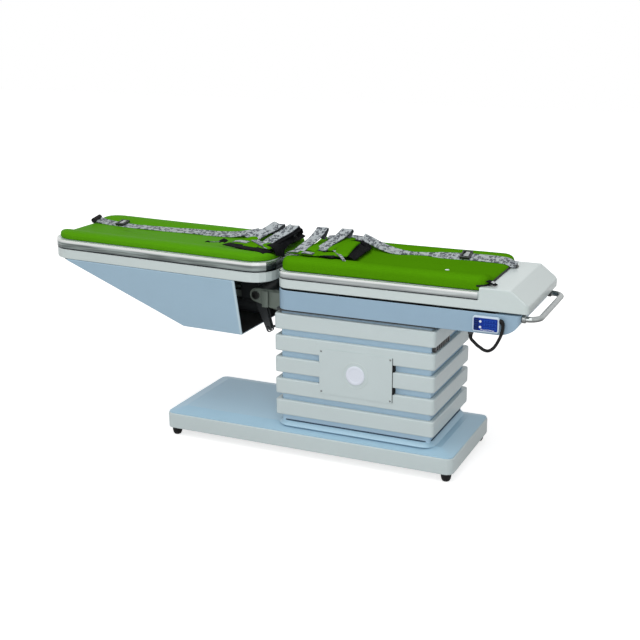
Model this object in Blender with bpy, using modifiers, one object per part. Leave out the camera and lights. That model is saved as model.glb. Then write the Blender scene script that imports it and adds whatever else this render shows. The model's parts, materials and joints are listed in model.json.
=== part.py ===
"""Traction table: a treatment table with a sliding chest section and a tilting leg section.

The base stands at the origin's height, X runs from the foot end to the head end, and Z is up.
X positions are written from the middle of the base. At the end the whole table is moved
along X so that its origin lies under the middle of its length.
"""
from math import asin, atan2, cos, degrees, hypot, pi, radians, sin, tan

import bmesh
import bpy
from mathutils import Matrix, Vector

# Clearances and drawing values
SEAT_GAP = 0.0003
RUNNING_GAP = 0.0006
CUT_OVERRUN = 0.006
MERGE_DISTANCE = 0.00001
FLAT_ANGLE = radians(0.05)
SHARP_ANGLE = radians(35)
BEVEL_ANGLE = radians(32)
CORNER_STEPS = 5
ROUND_SIDES = 32
EMPTY_SIZE = 0.05

# Base
BASE_LENGTH = 1.260
BASE_WIDTH = 0.502
BASE_CORNER_RADIUS = 0.030
SKIRT_HEIGHT = 0.0653
SKIRT_EDGE_RADIUS = 0.004
LID_LIP = 0.004
PLATEAU_RISE = 0.0157
PLATEAU_BORDER = 0.064
PLATEAU_CORNER_RADIUS = 0.008
FOOT_HEIGHT = 0.0357
FOOT_RADIUS = 0.021
FOOT_BOTTOM_RADIUS = 0.010
FOOT_RIM = 0.006
FOOT_STEPS = 4
FOOT_STEM_RADIUS = 0.006
FOOT_STEM_LENGTH = 0.030
FOOT_INSET = 0.033

# Column
COLUMN_CENTRE_X = 0.208
COLUMN_LENGTH = 0.669
COLUMN_WIDTH = 0.446
BAND_COUNT = 5
BAND_HEIGHT = 0.0637
BAND_RECESS = 0.0262
BAND_DEPTH = 0.0206
BAND_CORNER_RADIUS = 0.014
BAND_EDGE_RADIUS = 0.006
NECK_HEIGHT = 0.0439
CORE_CORNER_RADIUS = 0.010
CORE_HEAD = 0.0100
HEAD_PLATE_THICKNESS = 0.009
HEAD_PLATE_MARGIN = 0.006
BADGE_LENGTH = 0.304
BADGE_HEIGHT = 0.184
BADGE_THICKNESS = 0.0020
BADGE_CORNER_RADIUS = 0.006
BADGE_DROP = 0.214
BADGE_OFFSET_X = 0.014
DISC_RADIUS = 0.031
DISC_THICKNESS = 0.0016
VENT_WIDTH = 0.175
VENT_HEIGHT = 0.020
VENT_DEPTH = 0.014
VENT_OFFSET_Y = 0.110
VENT_SLOT_COUNT = 7
VENT_SLOT_DEPTH = 0.005
VENT_SLOT_SHARE = 0.45

# Table top, both sections
TABLE_WIDTH = 0.462
TRIM_THICKNESS = 0.004
TRIM_PROUD = 0.0012
TRIM_EDGE_RADIUS = 0.0012
TRAY_EDGE_RADIUS = 0.0035

# Chest section
CHEST_SETBACK = 0.0105
CHEST_LENGTH = 1.003
CHEST_CORNER_RADIUS = 0.052
END_CORNER_RADIUS = 0.016
HOUSING_LENGTH = 0.974
HOUSING_HEIGHT = 0.078
HOUSING_WALL = 0.004
HOUSING_FLOOR = 0.006
HOUSING_NOSE_LENGTH = 0.085
HOUSING_NOSE_HEIGHT = 0.066
SEAM_GAP = 0.008
TRAY_BAND_HEIGHT = 0.0375
CHEST_TRIM_HEIGHT = 0.029
CAP_LENGTH = 0.1847
CAP_RISE = 0.0171
CAP_SLOPE_LENGTH = 0.068
CAP_SLOPE_DROP = 0.0526
CHEST_PAD_THICKNESS = 0.053
CHEST_PAD_SHOULDER = 0.030
CHEST_VALLEY_DEPTH = 0.023
CHEST_PAD_INSET = 0.010
CHEST_PAD_END_SETBACK = 0.160
CHEST_PAD_CORNER_RADIUS = 0.050
PAD_POCKET_GAP = 0.0015

# Slide rails, carriages and traction actuator
TRACTION_TRAVEL = 0.100
SLIDE_SPACING = 0.300
SLIDE_END_MARGIN = 0.018
SLIDE_FOOT_WIDTH = 0.034
SLIDE_FOOT_HEIGHT = 0.006
SLIDE_WEB_WIDTH = 0.014
SLIDE_HEAD_BASE = 0.048
SLIDE_HEAD_WIDTH = 0.024
SLIDE_HEAD_HEIGHT = 0.009
CARRIAGE_LENGTH = 0.085
CARRIAGE_WIDTH = 0.044
CARRIAGE_LIP = 0.006
CARRIAGE_MARGIN = 0.030
ACTUATOR_START = 0.196
ACTUATOR_RADIUS = 0.022
ACTUATOR_LENGTH = 0.310
ACTUATOR_HEIGHT = 0.034
ACTUATOR_BORE_LENGTH = 0.200
ACTUATOR_ROD_RADIUS = 0.009
ACTUATOR_REACH = 0.045
MOTOR_RADIUS = 0.030
MOTOR_LENGTH = 0.120
SADDLE_WIDTH = 0.030
SADDLE_MARGIN = 0.030
LUG_LENGTH = 0.028
LUG_WIDTH = 0.034
LUG_EDGE = 0.004

# Push handle
HANDLE_SPACING = 0.400
HANDLE_RADIUS = 0.0108
HANDLE_REACH = 0.060
HANDLE_DROP = 0.0158
HANDLE_BEND_RADIUS = 0.045
HANDLE_BEND_STEPS = 8
HANDLE_BURIED = 0.050
SOCKET_RADIUS = 0.0150
SOCKET_LENGTH = 0.014
SOCKET_EDGE = 0.002

# Handset, its holder and its cord
HANDSET_X = 0.7375
HANDSET_Z = 0.6485
HANDSET_LENGTH = 0.100
HANDSET_HEIGHT = 0.059
HANDSET_DEPTH = 0.0150
HANDSET_CORNER_RADIUS = 0.010
HANDSET_EDGE_RADIUS = 0.003
KEYPAD_MARGIN = 0.006
KEYPAD_THICKNESS = 0.0008
KEYPAD_CORNER_RADIUS = 0.004
HOLDER_LENGTH = 0.060
HOLDER_HEIGHT = 0.050
HOLDER_THICKNESS = 0.0025
CORD_RADIUS = 0.006
CORD_SPACING = 0.012
CORD_RESOLUTION = 2
CORD_ARRIVAL_RISE = 0.0155
GLAND_RADIUS = 0.0105
GLAND_LENGTH = 0.012
GLAND_X = 0.6725
GLAND_Y = -0.2110
GLAND_EDGE = 0.002
# The cord's route after it leaves the gland, chosen by hand, in table positions
CORD_ROUTE = (
    (0.6770, -0.2145, 0.5765), (0.6900, -0.2200, 0.5680), (0.7030, -0.2260, 0.5600),
    (0.7172, -0.2310, 0.5540), (0.7304, -0.2355, 0.5485), (0.7465, -0.2395, 0.5477),
    (0.7620, -0.2415, 0.5559), (0.7749, -0.2425, 0.5715), (0.7855, -0.2425, 0.5921),
    (0.7921, -0.2420, 0.6082), (0.7965, -0.2415, 0.6236), (0.7990, -0.2412, 0.6390),
    (0.7990, -0.2412, 0.6540),
)

# Leg section
SPLIT_GAP = 0.042
LEG_LENGTH = 1.042
LEG_LIFT = 0.0080
LEG_FOOT_CORNER_RADIUS = 0.100
LEG_SPLIT_CORNER_RADIUS = 0.090
LEG_TRAY_BAND_HEIGHT = 0.0415
LEG_TRIM_HEIGHT = 0.039
LEG_PAD_THICKNESS = 0.033
LEG_PAD_SHOULDER = 0.034
LEG_VALLEY_DEPTH = 0.023
LEG_PAD_INSET = 0.010
HULL_DEPTH = 0.2212
HULL_TOP_SETBACK = 0.142
HULL_BOTTOM_SETBACK = 0.107
HULL_FLAT_LENGTH = 0.272
HULL_TIP_SETBACK = 0.0745
HULL_WALL = 0.005
HULL_EDGE_RADIUS = 0.004
LEG_REST_PITCH = radians(1.1)

# Leg pivot, yoke and roll bearing
PIVOT_SETBACK = 0.112
PIVOT_DROP = 0.0874
PITCH_DOWN = radians(20)
PIN_RADIUS = 0.012
PIN_HEAD_RADIUS = 0.017
PIN_HEAD_LENGTH = 0.006
CHEEK_INNER = 0.0855
CHEEK_THICKNESS = 0.012
CHEEK_EYE_RADIUS = 0.028
BRACKET_PLATE = 0.012
BRACKET_TOP_RISE = 0.026
BRACKET_BOTTOM_DROP = 0.066
BRACKET_WIDTH_MARGIN = 0.012
BARREL_RADIUS = 0.025
BLOCK_LENGTH = 0.100
BLOCK_WIDTH = 0.084
BLOCK_HEIGHT = 0.078
BLOCK_EDGE = 0.004
SPINDLE_RADIUS = 0.018
SPINDLE_ENGAGED = 0.055
SPINDLE_FLANGE_RADIUS = 0.042
SPINDLE_FLANGE_LENGTH = 0.012
SPINDLE_SHOULDER_GAP = 0.060
GEARMOTOR_RADIUS = 0.029
GEARMOTOR_LENGTH = 0.130
GEARMOTOR_DROP = 0.076
GEARMOTOR_SEAT_WIDTH = 0.040
ARM_LENGTH = 0.147
ARM_Y = -0.072
ARM_SPREAD = 0.0130
ARM_PLATE = 0.006
ARM_ROOT_RADIUS = 0.022
ARM_END_RADIUS = 0.0115
ARM_END_EXTRA = 0.0068
SLOT_SIDE_GAP = 0.0022
SLOT_END_GAP = 0.0022
ROD_RADIUS = 0.005
ROD_EYE_WIDTH = 0.012
ROD_EYE_RADIUS = 0.010
ROD_PIN_RADIUS = 0.004
ROD_BURIED = 0.105
PITCH_TUBE_RADIUS = 0.0095
PITCH_TUBE_SETBACK = 0.015
PITCH_TUBE_LENGTH = 0.190
PITCH_TUBE_NOSE = 0.012

# Frame inside the leg shell
BULKHEAD_THICKNESS = 0.010
BULKHEAD_WIDTH = 0.360
BULKHEAD_HEIGHT = 0.190
DECK_THICKNESS = 0.008
DECK_LENGTH = 0.420
DECK_OVERHANG = 0.130
GUSSET_LENGTH = 0.090
GUSSET_THICKNESS = 0.008
GUSSET_SPACING = 0.240

# Straps, harness and small fittings
WEBBING_WIDTH = 0.046
WEBBING_THICKNESS = 0.0035
STRAP_END_GAP = 0.012
LEG_STRAP_Y = 0.098
CHEST_STRAP_Y = 0.122
BUCKLE_LENGTH = 0.040
BUCKLE_WIDTH = 0.054
BUCKLE_HEIGHT = 0.012
BUCKLE_EDGE = 0.003
LEG_BUCKLE_SHARE = 0.17
CHEST_BUCKLE_SHARE = 0.715
ROLLER_RADIUS = 0.0115
ROLLER_LENGTH = 0.052
ROLLER_SETBACK = 0.012
ANCHOR_LENGTH = 0.026
ANCHOR_HEIGHT = 0.020
ANCHOR_WIDTH = 0.034
HOOK_WIDTH = 0.018
HOOK_THICKNESS = 0.004
HOOK_REACH = 0.012
HOOK_HEIGHT = 0.020
HOOK_Y = -0.110
LEG_BELT_LENGTH = 0.190
CHEST_BELT_LENGTH = 0.250
BELT_FRONT_Y = -0.115
BELT_BACK_Y = 0.150
BELT_THICKNESS = 0.011
BELT_FILL = 0.012
BELT_WAVE_HEIGHT = 0.016
BELT_WAVE_COUNT = 3
BELT_WAVE_STEPS = 8
LEG_BELT_START = 0.028
CHEST_BELT_START = 0.020
LOOP_RISE = 0.068
LOOP_THICKNESS = 0.007
LOOP_RUN = 0.120
LOOP_SINK = 0.004
LOOP_TURN = radians(20)
LOOP_STEPS = 7

# Shares of a pad's thickness and shoulder, ring by ring from the bottom up
PAD_RING_SHARES = (
    (0.00, 0.20), (0.08, 0.03), (0.22, 0.00), (0.50, 0.02),
    (0.72, 0.14), (0.88, 0.42), (0.97, 0.75), (1.00, 1.05),
)
# The hollow along a pad's top: shares of the half width, and of the rise from floor to crest
PAD_VALLEY_SHARES = (
    (0.36, 0.00), (0.44, 0.08), (0.54, 0.32), (0.64, 0.68), (0.73, 0.90), (0.84, 1.15),
)
PAD_SIDE_POINTS = 8
PAD_END_POINTS = 4
PAD_DRAW_IN = 0.004
PAD_MIN_RADIUS = 0.012

# Where the webbing tails stand along each belt, as shares of its length
LEG_TAIL_SHARES = (0.58, 0.93)
CHEST_TAIL_SHARES = (0.16, 0.50)

# Drawing weights: a spline point's own weight, and a smooth route's for each power of its
# parameter on the four neighbouring points
SPLINE_WEIGHT = 1
ROUTE_WEIGHTS = ((0, 2, 0, 0), (-1, 0, 1, 0), (2, -5, 4, -1), (-1, 3, -3, 1))

# Heights, from the floor up
SKIRT_BOTTOM = FOOT_HEIGHT + SEAT_GAP
SKIRT_TOP = SKIRT_BOTTOM + SKIRT_HEIGHT
LID_BOTTOM = SKIRT_TOP + SEAT_GAP
PLATEAU_TOP = LID_BOTTOM + LID_LIP + PLATEAU_RISE
CORE_BOTTOM = PLATEAU_TOP + SEAT_GAP
BAND_PITCH = BAND_HEIGHT + BAND_RECESS
BANDS_BOTTOM = CORE_BOTTOM + NECK_HEIGHT
BANDS_TOP = BANDS_BOTTOM + BAND_COUNT * BAND_PITCH - BAND_RECESS
CORE_TOP = BANDS_TOP + CORE_HEAD
HEAD_PLATE_BOTTOM = CORE_TOP + SEAT_GAP
HOUSING_BOTTOM = HEAD_PLATE_BOTTOM + HEAD_PLATE_THICKNESS + SEAT_GAP
HOUSING_TOP = HOUSING_BOTTOM + HOUSING_HEIGHT
CHEST_TRAY_BOTTOM = HOUSING_TOP + SEAM_GAP
CHEST_BAND_TOP = CHEST_TRAY_BOTTOM + TRAY_BAND_HEIGHT
CHEST_DECK_TOP = CHEST_BAND_TOP + CHEST_TRIM_HEIGHT
CHEST_PAD_TOP = CHEST_DECK_TOP + SEAT_GAP + CHEST_PAD_THICKNESS
LEG_TRAY_BOTTOM = CHEST_TRAY_BOTTOM + LEG_LIFT
LEG_BAND_TOP = LEG_TRAY_BOTTOM + LEG_TRAY_BAND_HEIGHT
LEG_DECK_TOP = LEG_BAND_TOP + LEG_TRIM_HEIGHT
LEG_PAD_TOP = LEG_DECK_TOP + SEAT_GAP + LEG_PAD_THICKNESS
PIVOT_Z = LEG_TRAY_BOTTOM - PIVOT_DROP

# Places along the table, from the middle of the base
COLUMN_LEFT = COLUMN_CENTRE_X - COLUMN_LENGTH / 2
COLUMN_RIGHT = COLUMN_CENTRE_X + COLUMN_LENGTH / 2
COLUMN_FRONT = -COLUMN_WIDTH / 2
CHEST_LEFT = COLUMN_LEFT + CHEST_SETBACK
CHEST_RIGHT = CHEST_LEFT + CHEST_LENGTH
HOUSING_RIGHT = CHEST_LEFT + HOUSING_LENGTH
CAVITY_LEFT = CHEST_LEFT + HOUSING_WALL
CAVITY_RIGHT = HOUSING_RIGHT - HOUSING_NOSE_LENGTH
CAVITY_FLOOR = HOUSING_BOTTOM + HOUSING_FLOOR
CAP_LEFT = CHEST_RIGHT - CAP_LENGTH
LEG_RIGHT = CHEST_LEFT - SPLIT_GAP
LEG_LEFT = LEG_RIGHT - LEG_LENGTH
PIVOT_X = LEG_RIGHT - PIVOT_SETBACK
HALF_WIDTH = TABLE_WIDTH / 2
HANDLE_Z = HOUSING_TOP - HANDLE_DROP
ACTUATOR_Z = CAVITY_FLOOR + ACTUATOR_HEIGHT
PITCH_ROD_CENTRE_Z = BANDS_TOP - BAND_HEIGHT - BAND_RECESS / 2
PITCH_ROD_EXIT_X = COLUMN_LEFT + BAND_DEPTH / 2


class Carrier:
    """An empty that carries pieces. Its home is its place before any rest tilt."""

    def __init__(self, name, home, carrier=None, tilt=0):
        self.home = Vector(home)
        self.empty = bpy.data.objects.new(name, None)
        self.empty.empty_display_size = EMPTY_SIZE
        guides.objects.link(self.empty)
        self.empty.location = self.home
        if carrier:
            self.empty.parent = carrier.empty
            self.empty.location = self.home - carrier.home
        self.empty.rotation_euler = (0, tilt, 0)


def clear_scene():
    """Remove every object that the file starts with."""
    for obj in list(bpy.data.objects):
        bpy.data.objects.remove(obj, do_unlink=True)


def new_collection(name):
    """Make a collection in the scene."""
    collection = bpy.data.collections.new(name)
    bpy.context.scene.collection.children.link(collection)
    return collection


def new_finish(name, colour, roughness, metallic=0.0):
    """Make a Principled material from a colour, a roughness and a metallic value."""
    material = bpy.data.materials.new(name)
    material.use_nodes = True
    shader = material.node_tree.nodes["Principled BSDF"]
    shader.inputs["Base Color"].default_value = (*colour, 1.0)
    shader.inputs["Roughness"].default_value = roughness
    shader.inputs["Metallic"].default_value = metallic
    material.diffuse_color = (*colour, 1.0)
    return material


def add_piece(name, data, location, carrier, finish=None):
    """Link a mesh or curve as a part, or as a hidden shaping tool where it has no finish."""
    obj = bpy.data.objects.new(name, data)
    if finish is None:
        cutters.objects.link(obj)
        obj.hide_render = True
        obj.display_type = "WIRE"
    else:
        parts.objects.link(obj)
        own_finish = finish.copy()
        own_finish.name = name + "_finish"
        data.materials.append(own_finish)
    obj.parent = carrier.empty
    obj.location = Vector(location) - carrier.home
    return obj


def mesh_from(bm, name):
    """Turn a bmesh into a mesh with its faces pointing out and smooth where it is round."""
    bmesh.ops.recalc_face_normals(bm, faces=bm.faces)
    mesh = bpy.data.meshes.new(name)
    bm.to_mesh(mesh)
    bm.free()
    mesh.shade_smooth()
    mesh.set_sharp_from_angle(angle=SHARP_ANGLE)
    return mesh


def box(name, low, high, carrier, finish=None):
    """A box between two corners, from the cube primitive."""
    low = Vector(low)
    high = Vector(high)
    bm = bmesh.new()
    bmesh.ops.create_cube(bm, size=1, matrix=Matrix.Diagonal((*(high - low), 1)))
    return add_piece(name, mesh_from(bm, name), (low + high) / 2, carrier, finish)


def rod(name, radius, start, end, carrier, finish=None, sides=ROUND_SIDES):
    """A round bar from one point to another, from the cone primitive."""
    start = Vector(start)
    end = Vector(end)
    turn = Vector((0, 0, 1)).rotation_difference(end - start).to_matrix().to_4x4()
    bm = bmesh.new()
    bmesh.ops.create_cone(
        bm, cap_ends=True, segments=sides, radius1=radius, radius2=radius,
        depth=(end - start).length, matrix=turn,
    )
    return add_piece(name, mesh_from(bm, name), (start + end) / 2, carrier, finish)


def rounded_outline(x0, x1, y0, y1, left_radius, right_radius, steps=CORNER_STEPS):
    """Points round a rectangle whose left and right corners have radii of their own."""
    corners = (
        (x1 - right_radius, y1 - right_radius, right_radius),
        (x0 + left_radius, y1 - left_radius, left_radius),
        (x0 + left_radius, y0 + left_radius, left_radius),
        (x1 - right_radius, y0 + right_radius, right_radius),
    )
    points = []
    for quarter, (x, y, radius) in enumerate(corners):
        for step in range(steps + 1):
            angle = (quarter + step / steps) * pi / 2
            points.append((x + radius * cos(angle), y + radius * sin(angle)))
    return points


def link_outline(start, start_radius, end, end_radius, steps=CORNER_STEPS * 2):
    """Points round a bar with two round ends of their own radii, as a lever or a slot."""
    reach = hypot(end[0] - start[0], end[1] - start[1])
    heading = atan2(end[1] - start[1], end[0] - start[0])
    lean = asin((start_radius - end_radius) / reach)
    points = []
    ends = (
        (start, start_radius, heading + pi / 2 - lean, pi + 2 * lean),
        (end, end_radius, heading - pi / 2 + lean, pi - 2 * lean),
    )
    for (x, y), radius, first, sweep in ends:
        for step in range(steps + 1):
            angle = first + sweep * step / steps
            points.append((x + radius * cos(angle), y + radius * sin(angle)))
    return points


PLANE_TURNS = {
    "XY": Matrix.Identity(4),
    "XZ": Matrix(((1, 0, 0, 0), (0, 0, -1, 0), (0, 1, 0, 0), (0, 0, 0, 1))),
    "YZ": Matrix(((0, 0, 1, 0), (1, 0, 0, 0), (0, 1, 0, 0), (0, 0, 0, 1))),
}


def prism(name, outlines, low, high, plane, carrier, finish=None):
    """Flat outlines in a plane, filled and given a thickness across it from low to high."""
    across = [point[0] for point in outlines[0]]
    along = [point[1] for point in outlines[0]]
    middle = ((min(across) + max(across)) / 2, (min(along) + max(along)) / 2)
    curve = bpy.data.curves.new(name + "_outline", "CURVE")
    curve.dimensions = "2D"
    curve.fill_mode = "BOTH"
    curve.extrude = (high - low) / 2
    for outline in outlines:
        spline = curve.splines.new("POLY")
        spline.points.add(len(outline) - 1)
        for point, (a, b) in zip(spline.points, outline):
            point.co = (a - middle[0], b - middle[1], 0, SPLINE_WEIGHT)
        spline.use_cyclic_u = True
    sketch = bpy.data.objects.new(name + "_sketch", curve)
    bpy.context.scene.collection.objects.link(sketch)
    depsgraph = bpy.context.evaluated_depsgraph_get()
    raw = bpy.data.meshes.new_from_object(sketch.evaluated_get(depsgraph))
    bpy.data.objects.remove(sketch, do_unlink=True)
    bpy.data.curves.remove(curve)
    bm = bmesh.new()
    bm.from_mesh(raw)
    bpy.data.meshes.remove(raw)
    bmesh.ops.remove_doubles(bm, verts=bm.verts, dist=MERGE_DISTANCE)
    bmesh.ops.dissolve_limit(bm, angle_limit=FLAT_ANGLE, verts=bm.verts, edges=bm.edges)
    bmesh.ops.transform(bm, matrix=PLANE_TURNS[plane], verts=bm.verts)
    depth = (low + high) / 2
    location = {
        "XY": (middle[0], middle[1], depth),
        "XZ": (middle[0], depth, middle[1]),
        "YZ": (depth, middle[0], middle[1]),
    }[plane]
    return add_piece(name, mesh_from(bm, name), location, carrier, finish)


def turned(name, profile, location, carrier, finish=None, axis="Z", sides=ROUND_SIDES):
    """A turned piece from a profile of radius and height that starts and ends on its axis."""
    bm = bmesh.new()
    verts = [bm.verts.new((radius, 0, height)) for radius, height in profile]
    for first, second in zip(verts, verts[1:]):
        bm.edges.new((first, second))
    mesh = bpy.data.meshes.new(name)
    bm.to_mesh(mesh)
    bm.free()
    obj = add_piece(name, mesh, location, carrier, finish)
    screw = obj.modifiers.new("Turn", "SCREW")
    screw.steps = sides
    screw.render_steps = sides
    screw.use_merge_vertices = True
    screw.merge_threshold = MERGE_DISTANCE
    screw.use_smooth_shade = True
    obj.rotation_euler = {"X": (0, pi / 2, 0), "Z": (0, 0, 0)}[axis]
    return obj


def tube(name, points, radius, carrier, finish, resolution):
    """A round tube through points, as a curve with a bevel and closed ends."""
    curve = bpy.data.curves.new(name, "CURVE")
    curve.dimensions = "3D"
    curve.bevel_depth = radius
    curve.bevel_resolution = resolution
    curve.use_fill_caps = True
    start = Vector(points[0])
    spline = curve.splines.new("POLY")
    spline.points.add(len(points) - 1)
    for point, place in zip(spline.points, points):
        point.co = (*(Vector(place) - start), SPLINE_WEIGHT)
    spline.use_smooth = True
    return add_piece(name, curve, start, carrier, finish)


def loft(name, rings, carrier, finish=None):
    """A solid through rings of points that correspond, with flat ends."""
    start = Vector(rings[0][0])
    bm = bmesh.new()
    loops = [[bm.verts.new(Vector(point) - start) for point in ring] for ring in rings]
    for lower, upper in zip(loops, loops[1:]):
        for index in range(len(lower)):
            following = (index + 1) % len(lower)
            bm.faces.new((lower[index], lower[following], upper[following], upper[index]))
    bm.faces.new(reversed(loops[0]))
    bm.faces.new(loops[-1])
    return add_piece(name, mesh_from(bm, name), start, carrier, finish)


def shape(obj, tool, operation):
    """Cut, join or intersect a piece with a shaping tool."""
    boolean = obj.modifiers.new(tool.name, "BOOLEAN")
    boolean.operation = operation
    boolean.object = tool
    boolean.solver = "EXACT"


def ease_edges(obj, width, segments=2):
    """Round the sharp edges of a piece."""
    bevel = obj.modifiers.new("Edges", "BEVEL")
    bevel.width = width
    bevel.segments = segments
    bevel.limit_method = "ANGLE"
    bevel.angle_limit = BEVEL_ANGLE
    bevel.use_clamp_overlap = True


def smooth_route(points, spacing):
    """Points along a smooth curve through the route's own points."""
    route = [Vector(point) for point in points]
    padded = [2 * route[0] - route[1], *route, 2 * route[-1] - route[-2]]
    result = [route[0]]
    for index in range(1, len(padded) - 2):
        neighbours = padded[index - 1:index + 3]
        steps = max(1, round((padded[index + 1] - padded[index]).length / spacing))
        for step in range(1, steps + 1):
            t = step / steps
            place = Vector((0, 0, 0))
            for power, weights in enumerate(ROUTE_WEIGHTS):
                for weight, neighbour in zip(weights, neighbours):
                    place += neighbour * weight * t ** power / 2
            result.append(place)
    return result


def route_length(points):
    """The length along points."""
    return sum((Vector(b) - Vector(a)).length for a, b in zip(points, points[1:]))


def make_base(frame):
    """The plinth: white skirt, blue lid with a sloped border, and four domed rubber feet."""
    x = BASE_LENGTH / 2
    y = BASE_WIDTH / 2
    outline = rounded_outline(-x, x, -y, y, BASE_CORNER_RADIUS, BASE_CORNER_RADIUS)
    skirt = prism("base_skirt", [outline], SKIRT_BOTTOM, SKIRT_TOP, "XY", frame, WHITE_PAINT)
    ease_edges(skirt, SKIRT_EDGE_RADIUS)

    lip = SKIRT_EDGE_RADIUS
    rings = []
    for height, inset, radius in (
        (LID_BOTTOM, lip, BASE_CORNER_RADIUS - lip),
        (LID_BOTTOM + LID_LIP, lip, BASE_CORNER_RADIUS - lip),
        (PLATEAU_TOP, PLATEAU_BORDER, PLATEAU_CORNER_RADIUS),
    ):
        ring = rounded_outline(-x + inset, x - inset, -y + inset, y - inset, radius, radius)
        rings.append([(px, py, height) for px, py in ring])
    loft("base_top", rings, frame, BLUE_PAINT)

    foot_profile = [
        (0, FOOT_HEIGHT + FOOT_STEM_LENGTH),
        (FOOT_STEM_RADIUS, FOOT_HEIGHT + FOOT_STEM_LENGTH),
        (FOOT_STEM_RADIUS, FOOT_HEIGHT),
        (FOOT_RADIUS, FOOT_HEIGHT),
    ]
    for step in range(FOOT_STEPS + 1):
        angle = step / FOOT_STEPS * pi / 2
        foot_profile.append((
            FOOT_BOTTOM_RADIUS + (FOOT_RADIUS - FOOT_BOTTOM_RADIUS) * cos(angle),
            (FOOT_HEIGHT - FOOT_RIM) * (1 - sin(angle)),
        ))
    foot_profile.append((0, 0))
    for depth_name, side in (("front", -1), ("back", 1)):
        for end_name, end in (("left", -1), ("right", 1)):
            place = (end * (x - FOOT_INSET), side * (y - FOOT_INSET))
            name = f"foot_{depth_name}_{end_name}"
            turned(name, foot_profile, (*place, 0), frame, RUBBER)
            hole = rod(
                name + "_hole", FOOT_STEM_RADIUS + SEAT_GAP, (*place, 0),
                (*place, FOOT_HEIGHT + FOOT_STEM_LENGTH + SEAT_GAP), frame,
            )
            shape(skirt, hole, "DIFFERENCE")


def make_column(frame):
    """The rigid column: blue core, five white bands, name plate, disc and end vent."""
    x0 = COLUMN_LEFT
    x1 = COLUMN_RIGHT
    y1 = COLUMN_WIDTH / 2
    core_x0 = x0 + BAND_DEPTH
    core_x1 = x1 - BAND_DEPTH
    core_y1 = y1 - BAND_DEPTH
    core = prism(
        "column_core",
        [rounded_outline(core_x0, core_x1, -core_y1, core_y1, CORE_CORNER_RADIUS, CORE_CORNER_RADIUS)],
        CORE_BOTTOM, CORE_TOP, "XY", frame, BLUE_PAINT,
    )
    inner_gap = SEAT_GAP
    inner_radius = CORE_CORNER_RADIUS + inner_gap
    for index in range(BAND_COUNT):
        top = BANDS_TOP - index * BAND_PITCH
        outer = rounded_outline(x0, x1, -y1, y1, BAND_CORNER_RADIUS, BAND_CORNER_RADIUS)
        inner = rounded_outline(
            core_x0 - inner_gap, core_x1 + inner_gap, -core_y1 - inner_gap, core_y1 + inner_gap,
            inner_radius, inner_radius,
        )
        band = prism(
            f"column_band_{index + 1}", [outer, inner], top - BAND_HEIGHT, top, "XY", frame, WHITE_PAINT,
        )
        ease_edges(band, BAND_EDGE_RADIUS)

    badge_x = COLUMN_CENTRE_X + BADGE_OFFSET_X
    badge_z = BANDS_TOP - BADGE_DROP
    badge_back = COLUMN_FRONT - SEAT_GAP
    badge_outline = rounded_outline(
        badge_x - BADGE_LENGTH / 2, badge_x + BADGE_LENGTH / 2,
        badge_z - BADGE_HEIGHT / 2, badge_z + BADGE_HEIGHT / 2,
        BADGE_CORNER_RADIUS, BADGE_CORNER_RADIUS,
    )
    prism(
        "badge_plate", [badge_outline], badge_back - BADGE_THICKNESS, badge_back, "XZ", frame,
        WHITE_PAINT,
    )
    disc_back = badge_back - BADGE_THICKNESS - SEAT_GAP
    rod(
        "badge_disc", DISC_RADIUS, (badge_x, disc_back, badge_z),
        (badge_x, disc_back - DISC_THICKNESS, badge_z), frame, PALE_DISC,
    )

    vent_z = BANDS_TOP - BAND_HEIGHT - BAND_RECESS / 2
    vent_y = -VENT_OFFSET_Y
    vent = box(
        "end_vent",
        (core_x1 + SEAT_GAP, vent_y - VENT_WIDTH / 2, vent_z - VENT_HEIGHT / 2),
        (core_x1 + SEAT_GAP + VENT_DEPTH, vent_y + VENT_WIDTH / 2, vent_z + VENT_HEIGHT / 2),
        frame, BLACK_PLASTIC,
    )
    slot_pitch = VENT_WIDTH / (VENT_SLOT_COUNT + 1)
    for index in range(VENT_SLOT_COUNT):
        slot_y = vent_y - VENT_WIDTH / 2 + (index + 1) * slot_pitch
        half_slot = slot_pitch * VENT_SLOT_SHARE / 2
        slot = box(
            f"vent_slot_{index + 1}",
            (core_x1 + VENT_DEPTH - VENT_SLOT_DEPTH, slot_y - half_slot, vent_z - VENT_HEIGHT),
            (core_x1 + VENT_DEPTH + CUT_OVERRUN, slot_y + half_slot, vent_z + VENT_HEIGHT),
            frame,
        )
        shape(vent, slot, "DIFFERENCE")

    margin = HEAD_PLATE_MARGIN
    head_outline = rounded_outline(
        x0 + margin, x1 - margin, -y1 + margin, y1 - margin, CORE_CORNER_RADIUS, CORE_CORNER_RADIUS,
    )
    prism(
        "head_plate", [head_outline], HEAD_PLATE_BOTTOM, HEAD_PLATE_BOTTOM + HEAD_PLATE_THICKNESS,
        "XY", frame, DARK_STEEL,
    )
    return core


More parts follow.
